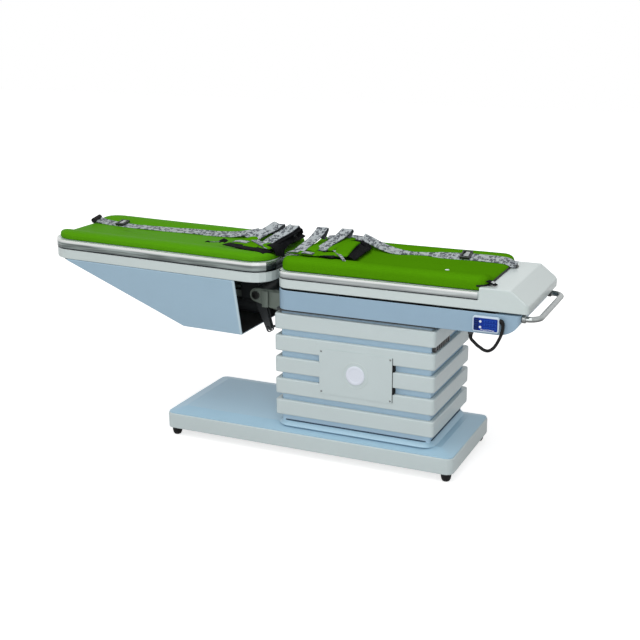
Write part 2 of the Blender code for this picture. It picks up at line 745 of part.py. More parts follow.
def make_housing(frame):
    """The blue trough under the chest section, with the bores for the push handle."""
    x0 = CHEST_LEFT
    x1 = HOUSING_RIGHT
    nose_top = HOUSING_BOTTOM + HOUSING_NOSE_HEIGHT
    side = [(x0, HOUSING_TOP), (x0, HOUSING_BOTTOM), (x1 - HOUSING_NOSE_LENGTH, HOUSING_BOTTOM)]
    for step in range(1, 2 * CORNER_STEPS + 1):
        angle = step / (2 * CORNER_STEPS) * pi / 2
        side.append((
            x1 - HOUSING_NOSE_LENGTH + HOUSING_NOSE_LENGTH * sin(angle),
            nose_top - HOUSING_NOSE_HEIGHT * cos(angle),
        ))
    side.append((x1, HOUSING_TOP))
    housing = prism(
        "chest_housing", [side], -HALF_WIDTH - CUT_OVERRUN, HALF_WIDTH + CUT_OVERRUN, "XZ", frame,
        BLUE_PAINT,
    )
    plan = rounded_outline(x0, x1, -HALF_WIDTH, HALF_WIDTH, CHEST_CORNER_RADIUS, END_CORNER_RADIUS)
    plan_tool = prism(
        "housing_plan", [plan], HOUSING_BOTTOM - CUT_OVERRUN, HOUSING_TOP + CUT_OVERRUN, "XY", frame,
    )
    shape(housing, plan_tool, "INTERSECT")
    ease_edges(housing, TRAY_EDGE_RADIUS)
    cavity_half = HALF_WIDTH - HOUSING_WALL
    cavity = rounded_outline(
        CAVITY_LEFT, CAVITY_RIGHT, -cavity_half, cavity_half,
        CHEST_CORNER_RADIUS - HOUSING_WALL, END_CORNER_RADIUS,
    )
    cavity_tool = prism(
        "housing_cavity", [cavity], CAVITY_FLOOR, HOUSING_TOP + CUT_OVERRUN, "XY", frame,
    )
    shape(housing, cavity_tool, "DIFFERENCE")
    for name, sign in (("front", -1), ("back", 1)):
        bore = rod(
            f"handle_bore_{name}", HANDLE_RADIUS + SEAT_GAP,
            (HOUSING_RIGHT - HANDLE_BURIED - SEAT_GAP, sign * HANDLE_SPACING / 2, HANDLE_Z),
            (HOUSING_RIGHT + CUT_OVERRUN, sign * HANDLE_SPACING / 2, HANDLE_Z), frame,
        )
        shape(housing, bore, "DIFFERENCE")


def make_slides(frame, chest):
    """Two slide rails on the housing floor and the four carriages that carry the tray."""
    rail_x0 = CAVITY_LEFT + SLIDE_END_MARGIN
    rail_x1 = CAVITY_RIGHT - SLIDE_END_MARGIN
    foot = SLIDE_FOOT_WIDTH / 2
    web = SLIDE_WEB_WIDTH / 2
    head = SLIDE_HEAD_WIDTH / 2
    base = CAVITY_FLOOR + SEAT_GAP
    head_base = base + SLIDE_HEAD_BASE
    head_top = head_base + SLIDE_HEAD_HEIGHT
    half_rail = (
        (foot, base), (foot, base + SLIDE_FOOT_HEIGHT), (web, base + SLIDE_FOOT_HEIGHT),
        (web, head_base), (head, head_base), (head, head_top),
    )
    wide = CARRIAGE_WIDTH / 2
    top = CHEST_TRAY_BOTTOM - SEAT_GAP
    gap = RUNNING_GAP
    half_carriage = (
        (web + gap, head_base - gap - CARRIAGE_LIP), (wide, head_base - gap - CARRIAGE_LIP),
        (wide, top),
    )
    half_inside = ((head + gap, head_top + gap), (head + gap, head_base - gap), (web + gap, head_base - gap))
    for name, sign in (("front", -1), ("back", 1)):
        y = sign * SLIDE_SPACING / 2
        outline = [(y + a, z) for a, z in half_rail] + [(y - a, z) for a, z in reversed(half_rail)]
        prism(f"slide_rail_{name}", [outline], rail_x0, rail_x1, "YZ", frame, BRIGHT_STEEL)
        right = [(y + a, z) for a, z in half_carriage]
        left = [(y - a, z) for a, z in reversed(half_carriage)]
        inside = [(y - a, z) for a, z in reversed(half_inside)] + [(y + a, z) for a, z in half_inside]
        carriage_outline = right + left + inside
        last = rail_x1 - TRACTION_TRAVEL - CARRIAGE_MARGIN - CARRIAGE_LENGTH
        for end_name, start in (("foot_end", rail_x0 + CARRIAGE_MARGIN), ("head_end", last)):
            prism(
                f"carriage_{name}_{end_name}", [carriage_outline], start, start + CARRIAGE_LENGTH,
                "YZ", chest, DARK_STEEL,
            )


def make_traction_drive(frame, chest):
    """The linear actuator that pulls the chest section along its rails."""
    start = CHEST_LEFT + ACTUATOR_START
    end = start + ACTUATOR_LENGTH
    z = ACTUATOR_Z
    body = rod("traction_actuator", ACTUATOR_RADIUS, (start, 0, z), (end, 0, z), frame, DARK_STEEL)
    motor = rod("traction_motor", MOTOR_RADIUS, (end - CUT_OVERRUN, 0, z), (end + MOTOR_LENGTH, 0, z), frame)
    shape(body, motor, "UNION")
    for name, x in (("start", start + SADDLE_MARGIN), ("end", end - SADDLE_MARGIN)):
        saddle = box(
            f"saddle_{name}",
            (x - SADDLE_WIDTH / 2, -SADDLE_WIDTH / 2, CAVITY_FLOOR + SEAT_GAP),
            (x + SADDLE_WIDTH / 2, SADDLE_WIDTH / 2, z), frame,
        )
        shape(body, saddle, "UNION")
    bore = rod(
        "traction_bore", ACTUATOR_ROD_RADIUS + RUNNING_GAP, (start - CUT_OVERRUN, 0, z),
        (start + ACTUATOR_BORE_LENGTH, 0, z), frame,
    )
    shape(body, bore, "DIFFERENCE")

    lug_x1 = start - TRACTION_TRAVEL - LUG_EDGE
    lug_x0 = lug_x1 - LUG_LENGTH
    traction_rod = rod(
        "traction_rod", ACTUATOR_ROD_RADIUS, (lug_x0 + LUG_EDGE, 0, z),
        (start + ACTUATOR_REACH, 0, z), chest, BRIGHT_STEEL,
    )
    lug = box(
        "traction_lug", (lug_x0, -LUG_WIDTH / 2, z - ACTUATOR_ROD_RADIUS - LUG_EDGE),
        (lug_x1, LUG_WIDTH / 2, CHEST_TRAY_BOTTOM - SEAT_GAP), chest,
    )
    shape(traction_rod, lug, "UNION")


def make_handle(frame):
    """The push handle: one bent tube and the two dark sockets that hold it."""
    half = HANDLE_SPACING / 2
    bar_x = HOUSING_RIGHT + HANDLE_REACH
    bend = HANDLE_BEND_RADIUS
    start = (HOUSING_RIGHT - HANDLE_BURIED, -half, HANDLE_Z)
    points = [start]
    for step in range(HANDLE_BEND_STEPS + 1):
        angle = step / HANDLE_BEND_STEPS * pi / 2
        points.append((bar_x - bend + bend * sin(angle), -half + bend - bend * cos(angle), HANDLE_Z))
    points += [(x, -y, z) for x, y, z in reversed(points)]
    tube("push_handle", points, HANDLE_RADIUS, frame, BRIGHT_STEEL, CORNER_STEPS)
    inner = HANDLE_RADIUS + SEAT_GAP
    for name, sign in (("front", -1), ("back", 1)):
        x = HOUSING_RIGHT + SEAT_GAP
        socket = rod(
            f"handle_socket_{name}", SOCKET_RADIUS, (x, sign * half, HANDLE_Z),
            (x + SOCKET_LENGTH, sign * half, HANDLE_Z), frame, BLACK_PLASTIC,
        )
        ease_edges(socket, SOCKET_EDGE)
        bore = rod(
            f"socket_bore_{name}", inner, (x - CUT_OVERRUN, sign * half, HANDLE_Z),
            (x + SOCKET_LENGTH + CUT_OVERRUN, sign * half, HANDLE_Z), frame,
        )
        shape(socket, bore, "DIFFERENCE")


def make_handset(frame):
    """The hand control in its holder on the housing front, with its keypad and cord."""
    front = -HALF_WIDTH - SEAT_GAP
    holder_front = front - HOLDER_THICKNESS
    holder_outline = rounded_outline(
        HANDSET_X - HOLDER_LENGTH / 2, HANDSET_X + HOLDER_LENGTH / 2,
        HANDSET_Z - HOLDER_HEIGHT / 2, HANDSET_Z + HOLDER_HEIGHT / 2,
        KEYPAD_CORNER_RADIUS, KEYPAD_CORNER_RADIUS,
    )
    prism("handset_holder", [holder_outline], holder_front, front, "XZ", frame, BLACK_PLASTIC)
    back = holder_front - SEAT_GAP
    face = back - HANDSET_DEPTH
    body_outline = rounded_outline(
        HANDSET_X - HANDSET_LENGTH / 2, HANDSET_X + HANDSET_LENGTH / 2,
        HANDSET_Z - HANDSET_HEIGHT / 2, HANDSET_Z + HANDSET_HEIGHT / 2,
        HANDSET_CORNER_RADIUS, HANDSET_CORNER_RADIUS,
    )
    body = prism("handset", [body_outline], face, back, "XZ", frame, WHITE_PLASTIC)
    ease_edges(body, HANDSET_EDGE_RADIUS)
    keypad_outline = rounded_outline(
        HANDSET_X - HANDSET_LENGTH / 2 + KEYPAD_MARGIN, HANDSET_X + HANDSET_LENGTH / 2 - KEYPAD_MARGIN,
        HANDSET_Z - HANDSET_HEIGHT / 2 + KEYPAD_MARGIN, HANDSET_Z + HANDSET_HEIGHT / 2 - KEYPAD_MARGIN,
        KEYPAD_CORNER_RADIUS, KEYPAD_CORNER_RADIUS,
    )
    prism(
        "handset_keypad", [keypad_outline], face - SEAT_GAP - KEYPAD_THICKNESS, face - SEAT_GAP,
        "XZ", frame, BLUE_MEMBRANE,
    )

    gland_top = HOUSING_BOTTOM - SEAT_GAP
    gland_bottom = gland_top - GLAND_LENGTH
    gland = rod(
        "cord_gland", GLAND_RADIUS, (GLAND_X, GLAND_Y, gland_bottom), (GLAND_X, GLAND_Y, gland_top),
        frame, BLACK_PLASTIC,
    )
    ease_edges(gland, GLAND_EDGE)
    exit_z = gland_bottom - SEAT_GAP
    arrival = (
        HANDSET_X + HANDSET_LENGTH / 2 + SEAT_GAP, (face + back) / 2,
        HANDSET_Z + CORD_ARRIVAL_RISE,
    )
    straight = 2 * CORD_RADIUS
    route = [(GLAND_X, GLAND_Y, exit_z), (GLAND_X, GLAND_Y, exit_z - straight)]
    route += CORD_ROUTE
    route += [(arrival[0] + straight / 2, arrival[1], arrival[2]), arrival]
    points = smooth_route(route, CORD_SPACING)
    tube("handset_cord", points, CORD_RADIUS, frame, RUBBER, CORD_RESOLUTION)
    print("handset cord length", round(route_length(points), 4))


def tray_with_deck(name, side, plan, deck, deck_bottom, deck_top, carrier, pocket=None):
    """A white tray: a side profile within a plan outline, a pocket, and a raised deck on it."""
    lows = [point[1] for point in side]
    tray = prism(
        name, [side], -HALF_WIDTH - CUT_OVERRUN, HALF_WIDTH + CUT_OVERRUN, "XZ", carrier, WHITE_GLOSS,
    )
    plan_tool = prism(
        name + "_plan", [plan], min(lows) - CUT_OVERRUN, max(lows) + CUT_OVERRUN, "XY", carrier,
    )
    shape(tray, plan_tool, "INTERSECT")
    ease_edges(tray, TRAY_EDGE_RADIUS)
    if pocket:
        shape(tray, pocket, "DIFFERENCE")
    deck_tool = prism(name + "_deck", [deck], deck_bottom, deck_top, "XY", carrier)
    shape(tray, deck_tool, "UNION")
    return tray


def pad_ring(x0, x1, half, left_radius, right_radius, inset, height):
    """One outline of a pad, with its sides drawn in between the corners."""
    left = max(left_radius - inset, PAD_MIN_RADIUS)
    right = max(right_radius - inset, PAD_MIN_RADIUS)
    corners = rounded_outline(x0 + inset, x1 - inset, -half + inset, half - inset, left, right)
    per_corner = CORNER_STEPS + 1
    ring = []
    for quarter in range(4):
        arc = corners[quarter * per_corner:(quarter + 1) * per_corner]
        ring += [(x, y, height) for x, y in arc]
        start = arc[-1]
        end = corners[(quarter + 1) * per_corner % len(corners)]
        count = PAD_SIDE_POINTS if quarter % 2 == 0 else PAD_END_POINTS
        inward = Vector((start[1] - end[1], end[0] - start[0])).normalized()
        for step in range(1, count):
            t = step / count
            pull = PAD_DRAW_IN * sin(pi * t)
            ring.append((
                start[0] + (end[0] - start[0]) * t + inward.x * pull,
                start[1] + (end[1] - start[1]) * t + inward.y * pull,
                height,
            ))
    return ring


class Valley:
    """The hollow along a pad's top, between the two raised long edges."""

    def __init__(self, half_width, crest, depth):
        self.crest = crest
        self.places = [
            (share * half_width, crest - depth * (1 - rise)) for share, rise in PAD_VALLEY_SHARES
        ]
        self.floor = self.places[0][1]

    def height(self, y):
        """The height of the pad's top at a distance from its middle line."""
        side = abs(y)
        previous = (0, self.floor)
        for place in self.places:
            if side <= place[0]:
                share = (side - previous[0]) / (place[0] - previous[0])
                return min(self.crest, previous[1] + (place[1] - previous[1]) * share)
            previous = place
        return self.crest

    def outline(self):
        """Points round the hollow across the pad, past its crests at both sides."""
        return [(-y, z) for y, z in reversed(self.places)] + self.places

    def stations(self, low, high):
        """Places across the pad from low to high, with the valley's own bends between them."""
        bends = [y for y, _ in self.outline() if low < y < high]
        return [low, *bends, high]

    def layer(self, low, high, lift, thickness):
        """Points round a layer of even thickness that lies in the valley from low to high."""
        lower = [(y, self.height(y) + lift) for y in self.stations(low, high)]
        upper = [(y, z + thickness) for y, z in lower]
        return lower + list(reversed(upper))


def make_pad(name, x0, x1, left_radius, right_radius, bottom, thickness, shoulder, valley, carrier):
    """A vinyl pad with rounded edges, drawn-in sides and a hollow along its top."""
    rings = []
    half = valley.places[-1][0] / PAD_VALLEY_SHARES[-1][0]
    for height_share, inset_share in PAD_RING_SHARES:
        rings.append(pad_ring(
            x0, x1, half, left_radius, right_radius,
            inset_share * shoulder, bottom + height_share * thickness,
        ))
    pad = loft(name, rings, carrier, GREEN_VINYL)
    hollow = prism(
        name + "_hollow", [valley.outline()], x0 - CUT_OVERRUN, x1 + CUT_OVERRUN, "YZ", carrier,
    )
    shape(pad, hollow, "DIFFERENCE")


def make_trim(name, x0, x1, left_radius, right_radius, bottom, top, carrier):
    """A bright steel trim strip that runs round a section."""
    inner = TRIM_THICKNESS
    outer = TRIM_PROUD
    trim = prism(
        name,
        [
            rounded_outline(
                x0 - outer, x1 + outer, -HALF_WIDTH - outer, HALF_WIDTH + outer,
                left_radius + outer, right_radius + outer,
            ),
            rounded_outline(
                x0 + inner, x1 - inner, -HALF_WIDTH + inner, HALF_WIDTH - inner,
                left_radius - inner, right_radius - inner,
            ),
        ],
        bottom + SEAT_GAP, top, "XY", carrier, BRIGHT_STEEL,
    )
    ease_edges(trim, TRIM_EDGE_RADIUS)
    return trim


def make_chest_top(chest):
    """The chest section's tray with its end cap, steel trim and pad. It gives the pad's valley."""
    cap_top = CHEST_DECK_TOP + CAP_RISE
    side = [
        (CHEST_LEFT, CHEST_TRAY_BOTTOM), (CHEST_RIGHT, CHEST_TRAY_BOTTOM),
        (CHEST_RIGHT, cap_top - CAP_SLOPE_DROP), (CHEST_RIGHT - CAP_SLOPE_LENGTH, cap_top),
        (CAP_LEFT, cap_top), (CAP_LEFT, CHEST_BAND_TOP), (CHEST_LEFT, CHEST_BAND_TOP),
    ]
    plan = rounded_outline(
        CHEST_LEFT, CHEST_RIGHT, -HALF_WIDTH, HALF_WIDTH, CHEST_CORNER_RADIUS, END_CORNER_RADIUS,
    )
    step = TRIM_THICKNESS + SEAT_GAP
    deck = rounded_outline(
        CHEST_LEFT + step, CAP_LEFT + CHEST_CORNER_RADIUS, -HALF_WIDTH + step, HALF_WIDTH - step,
        CHEST_CORNER_RADIUS - step, TRAY_EDGE_RADIUS,
    )
    pad_x0 = CHEST_LEFT + CHEST_PAD_INSET
    pad_x1 = CHEST_RIGHT - CHEST_PAD_END_SETBACK
    pocket_half = HALF_WIDTH - CHEST_PAD_INSET + PAD_POCKET_GAP
    pocket = rounded_outline(
        pad_x1 - 2 * CHEST_PAD_CORNER_RADIUS, pad_x1 + PAD_POCKET_GAP, -pocket_half, pocket_half,
        TRAY_EDGE_RADIUS, CHEST_PAD_CORNER_RADIUS + PAD_POCKET_GAP,
    )
    pocket_tool = prism(
        "pad_pocket", [pocket], CHEST_DECK_TOP - CUT_OVERRUN, cap_top + CUT_OVERRUN, "XY", chest,
    )
    tray_with_deck(
        "chest_tray", side, plan, deck, CHEST_BAND_TOP - TRAY_BAND_HEIGHT / 2, CHEST_DECK_TOP, chest,
        pocket_tool,
    )
    trim = make_trim(
        "chest_trim", CHEST_LEFT, CHEST_RIGHT, CHEST_CORNER_RADIUS, END_CORNER_RADIUS,
        CHEST_BAND_TOP, CHEST_DECK_TOP, chest,
    )
    trim_right = CAP_LEFT - TRAY_EDGE_RADIUS - SEAT_GAP
    trim_end = box(
        "trim_end", (trim_right, -TABLE_WIDTH, CHEST_BAND_TOP - CUT_OVERRUN),
        (CHEST_RIGHT + TABLE_WIDTH, TABLE_WIDTH, CHEST_DECK_TOP + CUT_OVERRUN), chest,
    )
    shape(trim, trim_end, "DIFFERENCE")
    valley = Valley(HALF_WIDTH - CHEST_PAD_INSET, CHEST_PAD_TOP, CHEST_VALLEY_DEPTH)
    make_pad(
        "chest_pad", pad_x0, pad_x1, CHEST_CORNER_RADIUS, CHEST_PAD_CORNER_RADIUS,
        CHEST_DECK_TOP + SEAT_GAP, CHEST_PAD_THICKNESS, CHEST_PAD_SHOULDER, valley, chest,
    )
    return valley


def make_leg_top(leg):
    """The leg section's tray, steel trim and pad. It gives the pad's valley."""
    side = [
        (LEG_LEFT, LEG_TRAY_BOTTOM), (LEG_RIGHT, LEG_TRAY_BOTTOM),
        (LEG_RIGHT, LEG_BAND_TOP), (LEG_LEFT, LEG_BAND_TOP),
    ]
    plan = rounded_outline(
        LEG_LEFT, LEG_RIGHT, -HALF_WIDTH, HALF_WIDTH, LEG_FOOT_CORNER_RADIUS, LEG_SPLIT_CORNER_RADIUS,
    )
    step = TRIM_THICKNESS + SEAT_GAP
    deck = rounded_outline(
        LEG_LEFT + step, LEG_RIGHT - step, -HALF_WIDTH + step, HALF_WIDTH - step,
        LEG_FOOT_CORNER_RADIUS - step, LEG_SPLIT_CORNER_RADIUS - step,
    )
    tray_with_deck(
        "leg_tray", side, plan, deck, LEG_BAND_TOP - LEG_TRAY_BAND_HEIGHT / 2, LEG_DECK_TOP, leg,
    )
    make_trim(
        "leg_trim", LEG_LEFT, LEG_RIGHT, LEG_FOOT_CORNER_RADIUS, LEG_SPLIT_CORNER_RADIUS,
        LEG_BAND_TOP, LEG_DECK_TOP, leg,
    )
    valley = Valley(HALF_WIDTH - LEG_PAD_INSET, LEG_PAD_TOP, LEG_VALLEY_DEPTH)
    make_pad(
        "leg_pad", LEG_LEFT + LEG_PAD_INSET, LEG_RIGHT - LEG_PAD_INSET, LEG_FOOT_CORNER_RADIUS,
        LEG_SPLIT_CORNER_RADIUS, LEG_DECK_TOP + SEAT_GAP, LEG_PAD_THICKNESS, LEG_PAD_SHOULDER,
        valley, leg,
    )
    return valley


def hull_side(shrink, top):
    """The leg shell's side outline, drawn in by a wall, from its open end to its tip."""
    bottom = LEG_TRAY_BOTTOM - SEAT_GAP - HULL_DEPTH
    open_top_x = LEG_RIGHT - HULL_TOP_SETBACK
    open_bottom_x = LEG_RIGHT - HULL_BOTTOM_SETBACK
    flat_x = open_bottom_x - HULL_FLAT_LENGTH
    tip_x = LEG_LEFT + HULL_TIP_SETBACK
    slope = atan2(HULL_DEPTH, flat_x - tip_x)
    run = (open_bottom_x - open_top_x) / HULL_DEPTH
    floor = bottom + shrink
    flat_in = flat_x + shrink * tan(slope / 2)
    tip_in = flat_in - (top - floor) / tan(slope)
    past = CUT_OVERRUN if shrink else 0
    return [
        (open_top_x + past - (top - bottom - HULL_DEPTH) * run, top),
        (tip_in, top), (flat_in, floor),
        (open_bottom_x + past - shrink * run, floor),
    ]


def make_hull(leg):
    """The deep blue shell under the leg section, open at the top and at the split end."""
    top = LEG_TRAY_BOTTOM - SEAT_GAP
    bottom = top - HULL_DEPTH
    hull = prism(
        "leg_hull", [hull_side(0, top)], -HALF_WIDTH - CUT_OVERRUN, HALF_WIDTH + CUT_OVERRUN, "XZ",
        leg, BLUE_PAINT,
    )
    plan = rounded_outline(
        LEG_LEFT, LEG_RIGHT, -HALF_WIDTH, HALF_WIDTH, LEG_FOOT_CORNER_RADIUS, TRAY_EDGE_RADIUS,
    )
    plan_tool = prism("hull_plan", [plan], bottom - CUT_OVERRUN, top + CUT_OVERRUN, "XY", leg)
    shape(hull, plan_tool, "INTERSECT")
    ease_edges(hull, HULL_EDGE_RADIUS)
    hollow_half = HALF_WIDTH - HULL_WALL
    hollow = prism(
        "hull_hollow", [hull_side(HULL_WALL, top + CUT_OVERRUN)], -HALF_WIDTH, HALF_WIDTH, "XZ", leg,
    )
    hollow_plan = prism(
        "hull_hollow_plan",
        [rounded_outline(
            LEG_LEFT + HULL_WALL, LEG_RIGHT, -hollow_half, hollow_half,
            LEG_FOOT_CORNER_RADIUS - HULL_WALL, TRAY_EDGE_RADIUS,
        )],
        bottom - CUT_OVERRUN, top + 2 * CUT_OVERRUN, "XY", leg,
    )
    shape(hollow, hollow_plan, "INTERSECT")
    shape(hull, hollow, "DIFFERENCE")


def make_bracket(frame):
    """The fixed bracket on the column's end and the pin that the leg section tilts on."""
    plate_x1 = COLUMN_LEFT - SEAT_GAP
    plate_x0 = plate_x1 - BRACKET_PLATE
    outer = CHEEK_INNER + CHEEK_THICKNESS
    top = PIVOT_Z + BRACKET_TOP_RISE
    bottom = PIVOT_Z - BRACKET_BOTTOM_DROP
    half_plate = outer + BRACKET_WIDTH_MARGIN
    bracket = box(
        "pivot_bracket", (plate_x0, -half_plate, bottom), (plate_x1, half_plate, top), frame, GREY_PAINT,
    )
    eye = CHEEK_EYE_RADIUS
    cheek_outline = [(plate_x1 - BRACKET_PLATE / 2, bottom), (plate_x1 - BRACKET_PLATE / 2, top)]
    first = pi / 2
    lower_lean = atan2(BRACKET_BOTTOM_DROP - eye, plate_x0 - PIVOT_X)
    for step in range(2 * CORNER_STEPS + 1):
        angle = first + (pi - lower_lean) * step / (2 * CORNER_STEPS)
        cheek_outline.append((PIVOT_X + eye * cos(angle), PIVOT_Z + eye * sin(angle)))
    for name, sign in (("front", -1), ("back", 1)):
        low, high = sorted((sign * CHEEK_INNER, sign * outer))
        cheek = prism(f"cheek_{name}", [cheek_outline], low, high, "XZ", frame)
        shape(bracket, cheek, "UNION")
    bore = rod(
        "bracket_bore", PIN_RADIUS + SEAT_GAP, (PIVOT_X, -half_plate, PIVOT_Z),
        (PIVOT_X, half_plate, PIVOT_Z), frame,
    )
    shape(bracket, bore, "DIFFERENCE")

    pin_end = outer + SEAT_GAP
    pin = rod("pitch_pin", PIN_RADIUS, (PIVOT_X, -pin_end - PIN_HEAD_LENGTH / 2, PIVOT_Z),
              (PIVOT_X, pin_end + PIN_HEAD_LENGTH / 2, PIVOT_Z), frame, BRIGHT_STEEL)
    for name, sign in (("front", -1), ("back", 1)):
        head = rod(
            f"pin_head_{name}", PIN_HEAD_RADIUS, (PIVOT_X, sign * pin_end, PIVOT_Z),
            (PIVOT_X, sign * (pin_end + PIN_HEAD_LENGTH), PIVOT_Z), frame,
        )
        shape(pin, head, "UNION")


def pitch_rod_geometry():
    """The pitch rod's slope and the place of its cross pin, square to the yoke's arm."""
    across = PITCH_ROD_EXIT_X - PIVOT_X
    down = PITCH_ROD_CENTRE_Z - PIVOT_Z
    slope = atan2(down, across) + asin(ARM_LENGTH / hypot(across, down))
    pin = (PIVOT_X + ARM_LENGTH * sin(slope), PIVOT_Z - ARM_LENGTH * cos(slope))
    return slope, pin


def arm_pin():
    """The cross pin's place on the yoke's arm, before the leg section's rest tilt."""
    slope, _ = pitch_rod_geometry()
    lean = slope + LEG_REST_PITCH
    down = (sin(lean), -cos(lean))
    return down, (PIVOT_X + ARM_LENGTH * down[0], PIVOT_Z + ARM_LENGTH * down[1])


def along_rod(distance):
    """A point on the pitch rod's axis, measured from its cross pin towards the column."""
    slope, pin = pitch_rod_geometry()
    return (pin[0] + distance * cos(slope), ARM_Y, pin[1] + distance * sin(slope))


def make_yoke(yoke_carrier):
    """The tilting yoke: barrel on the pin, bearing block for the roll spindle, slotted arm."""
    barrel_end = CHEEK_INNER - RUNNING_GAP
    yoke = rod(
        "leg_yoke", BARREL_RADIUS, (PIVOT_X, -barrel_end, PIVOT_Z), (PIVOT_X, barrel_end, PIVOT_Z),
        yoke_carrier, DARK_STEEL,
    )
    block = box(
        "bearing_block", (PIVOT_X - BLOCK_LENGTH, -BLOCK_WIDTH / 2, PIVOT_Z - BLOCK_HEIGHT / 2),
        (PIVOT_X - BARREL_RADIUS / 2, BLOCK_WIDTH / 2, PIVOT_Z + BLOCK_HEIGHT / 2), yoke_carrier,
    )
    ease_edges(block, BLOCK_EDGE)
    shape(yoke, block, "UNION")

    down, pin = arm_pin()
    slot_reach = ARM_LENGTH * (1 / cos(PITCH_DOWN) - 1)
    slot_radius = ROD_PIN_RADIUS + SLOT_SIDE_GAP
    end = (pin[0] + down[0] * ARM_END_EXTRA, pin[1] + down[1] * ARM_END_EXTRA)
    slot_start = (pin[0] - down[0] * SLOT_END_GAP, pin[1] - down[1] * SLOT_END_GAP)
    slot_end = (pin[0] + down[0] * slot_reach, pin[1] + down[1] * slot_reach)
    for name, sign in (("front", -1), ("back", 1)):
        low, high = sorted((
            ARM_Y + sign * ARM_SPREAD / 2, ARM_Y + sign * (ARM_SPREAD / 2 + ARM_PLATE),
        ))
        arm = prism(
            f"arm_{name}", [link_outline((PIVOT_X, PIVOT_Z), ARM_ROOT_RADIUS, end, ARM_END_RADIUS)],
            low, high, "XZ", yoke_carrier,
        )
        shape(yoke, arm, "UNION")
    slot = prism(
        "arm_slot", [link_outline(slot_start, slot_radius, slot_end, slot_radius)],
        ARM_Y - ARM_SPREAD, ARM_Y + ARM_SPREAD, "XZ", yoke_carrier,
    )
    shape(yoke, slot, "DIFFERENCE")
    pin_bore = rod(
        "barrel_bore", PIN_RADIUS + SEAT_GAP, (PIVOT_X, -CHEEK_INNER, PIVOT_Z),
        (PIVOT_X, CHEEK_INNER, PIVOT_Z), yoke_carrier,
    )
    shape(yoke, pin_bore, "DIFFERENCE")
    block_left = PIVOT_X - BLOCK_LENGTH
    spindle_bore = rod(
        "spindle_bore", SPINDLE_RADIUS + SEAT_GAP, (block_left - CUT_OVERRUN, 0, PIVOT_Z),
        (block_left + SPINDLE_ENGAGED + RUNNING_GAP, 0, PIVOT_Z), yoke_carrier,
    )
    shape(yoke, spindle_bore, "DIFFERENCE")

    motor_z = PIVOT_Z - GEARMOTOR_DROP
    motor_x1 = PIVOT_X - BARREL_RADIUS
    gearmotor = rod(
        "roll_gearmotor", GEARMOTOR_RADIUS, (motor_x1 - GEARMOTOR_LENGTH, 0, motor_z),
        (motor_x1, 0, motor_z), yoke_carrier, DARK_STEEL,
    )
    ease_edges(gearmotor, BLOCK_EDGE)
    seat = box(
        "gearmotor_seat", (block_left + BLOCK_EDGE, -GEARMOTOR_SEAT_WIDTH / 2, motor_z),
        (motor_x1 - BLOCK_EDGE, GEARMOTOR_SEAT_WIDTH / 2, PIVOT_Z - BLOCK_HEIGHT / 2 - SEAT_GAP),
        yoke_carrier,
    )
    shape(gearmotor, seat, "UNION")


def make_pitch_drive(frame, rod_carrier, core):
    """The pitch actuator in the column and its rod, whose cross pin lifts the yoke's arm."""
    slope, pin = pitch_rod_geometry()
    exit_distance = hypot(PITCH_ROD_EXIT_X - pin[0], PITCH_ROD_CENTRE_Z - pin[1])
    tube_start = exit_distance + PITCH_TUBE_SETBACK
    tube_end = tube_start + PITCH_TUBE_LENGTH
    actuator = rod(
        "pitch_actuator", PITCH_TUBE_RADIUS, along_rod(tube_start), along_rod(tube_end), frame,
        DARK_STEEL,
    )
    rod_bore = rod(
        "pitch_rod_bore", ROD_RADIUS + SEAT_GAP, along_rod(tube_start - CUT_OVERRUN),
        along_rod(tube_end - PITCH_TUBE_NOSE), frame,
    )
    shape(actuator, rod_bore, "DIFFERENCE")
    core_bore = rod(
        "core_bore", PITCH_TUBE_RADIUS + SEAT_GAP, along_rod(exit_distance),
        along_rod(tube_end + SEAT_GAP), frame,
    )
    shape(core, core_bore, "DIFFERENCE")

    push_rod = rod(
        "pitch_rod", ROD_RADIUS, along_rod(0), along_rod(tube_start + ROD_BURIED), rod_carrier,
        BRIGHT_STEEL,
    )
    half_eye = ROD_EYE_WIDTH / 2
    eye = rod(
        "rod_eye", ROD_EYE_RADIUS, (pin[0], ARM_Y - half_eye, pin[1]),
        (pin[0], ARM_Y + half_eye, pin[1]), rod_carrier,
    )
    pin_reach = ARM_SPREAD / 2 + ARM_PLATE + SLOT_END_GAP
    cross_pin = rod(
        "rod_cross_pin", ROD_PIN_RADIUS, (pin[0], ARM_Y - pin_reach, pin[1]),
        (pin[0], ARM_Y + pin_reach, pin[1]), rod_carrier,
    )
    shape(push_rod, eye, "UNION")
    shape(push_rod, cross_pin, "UNION")
    print("pitch rod slope", round(degrees(slope), 3))


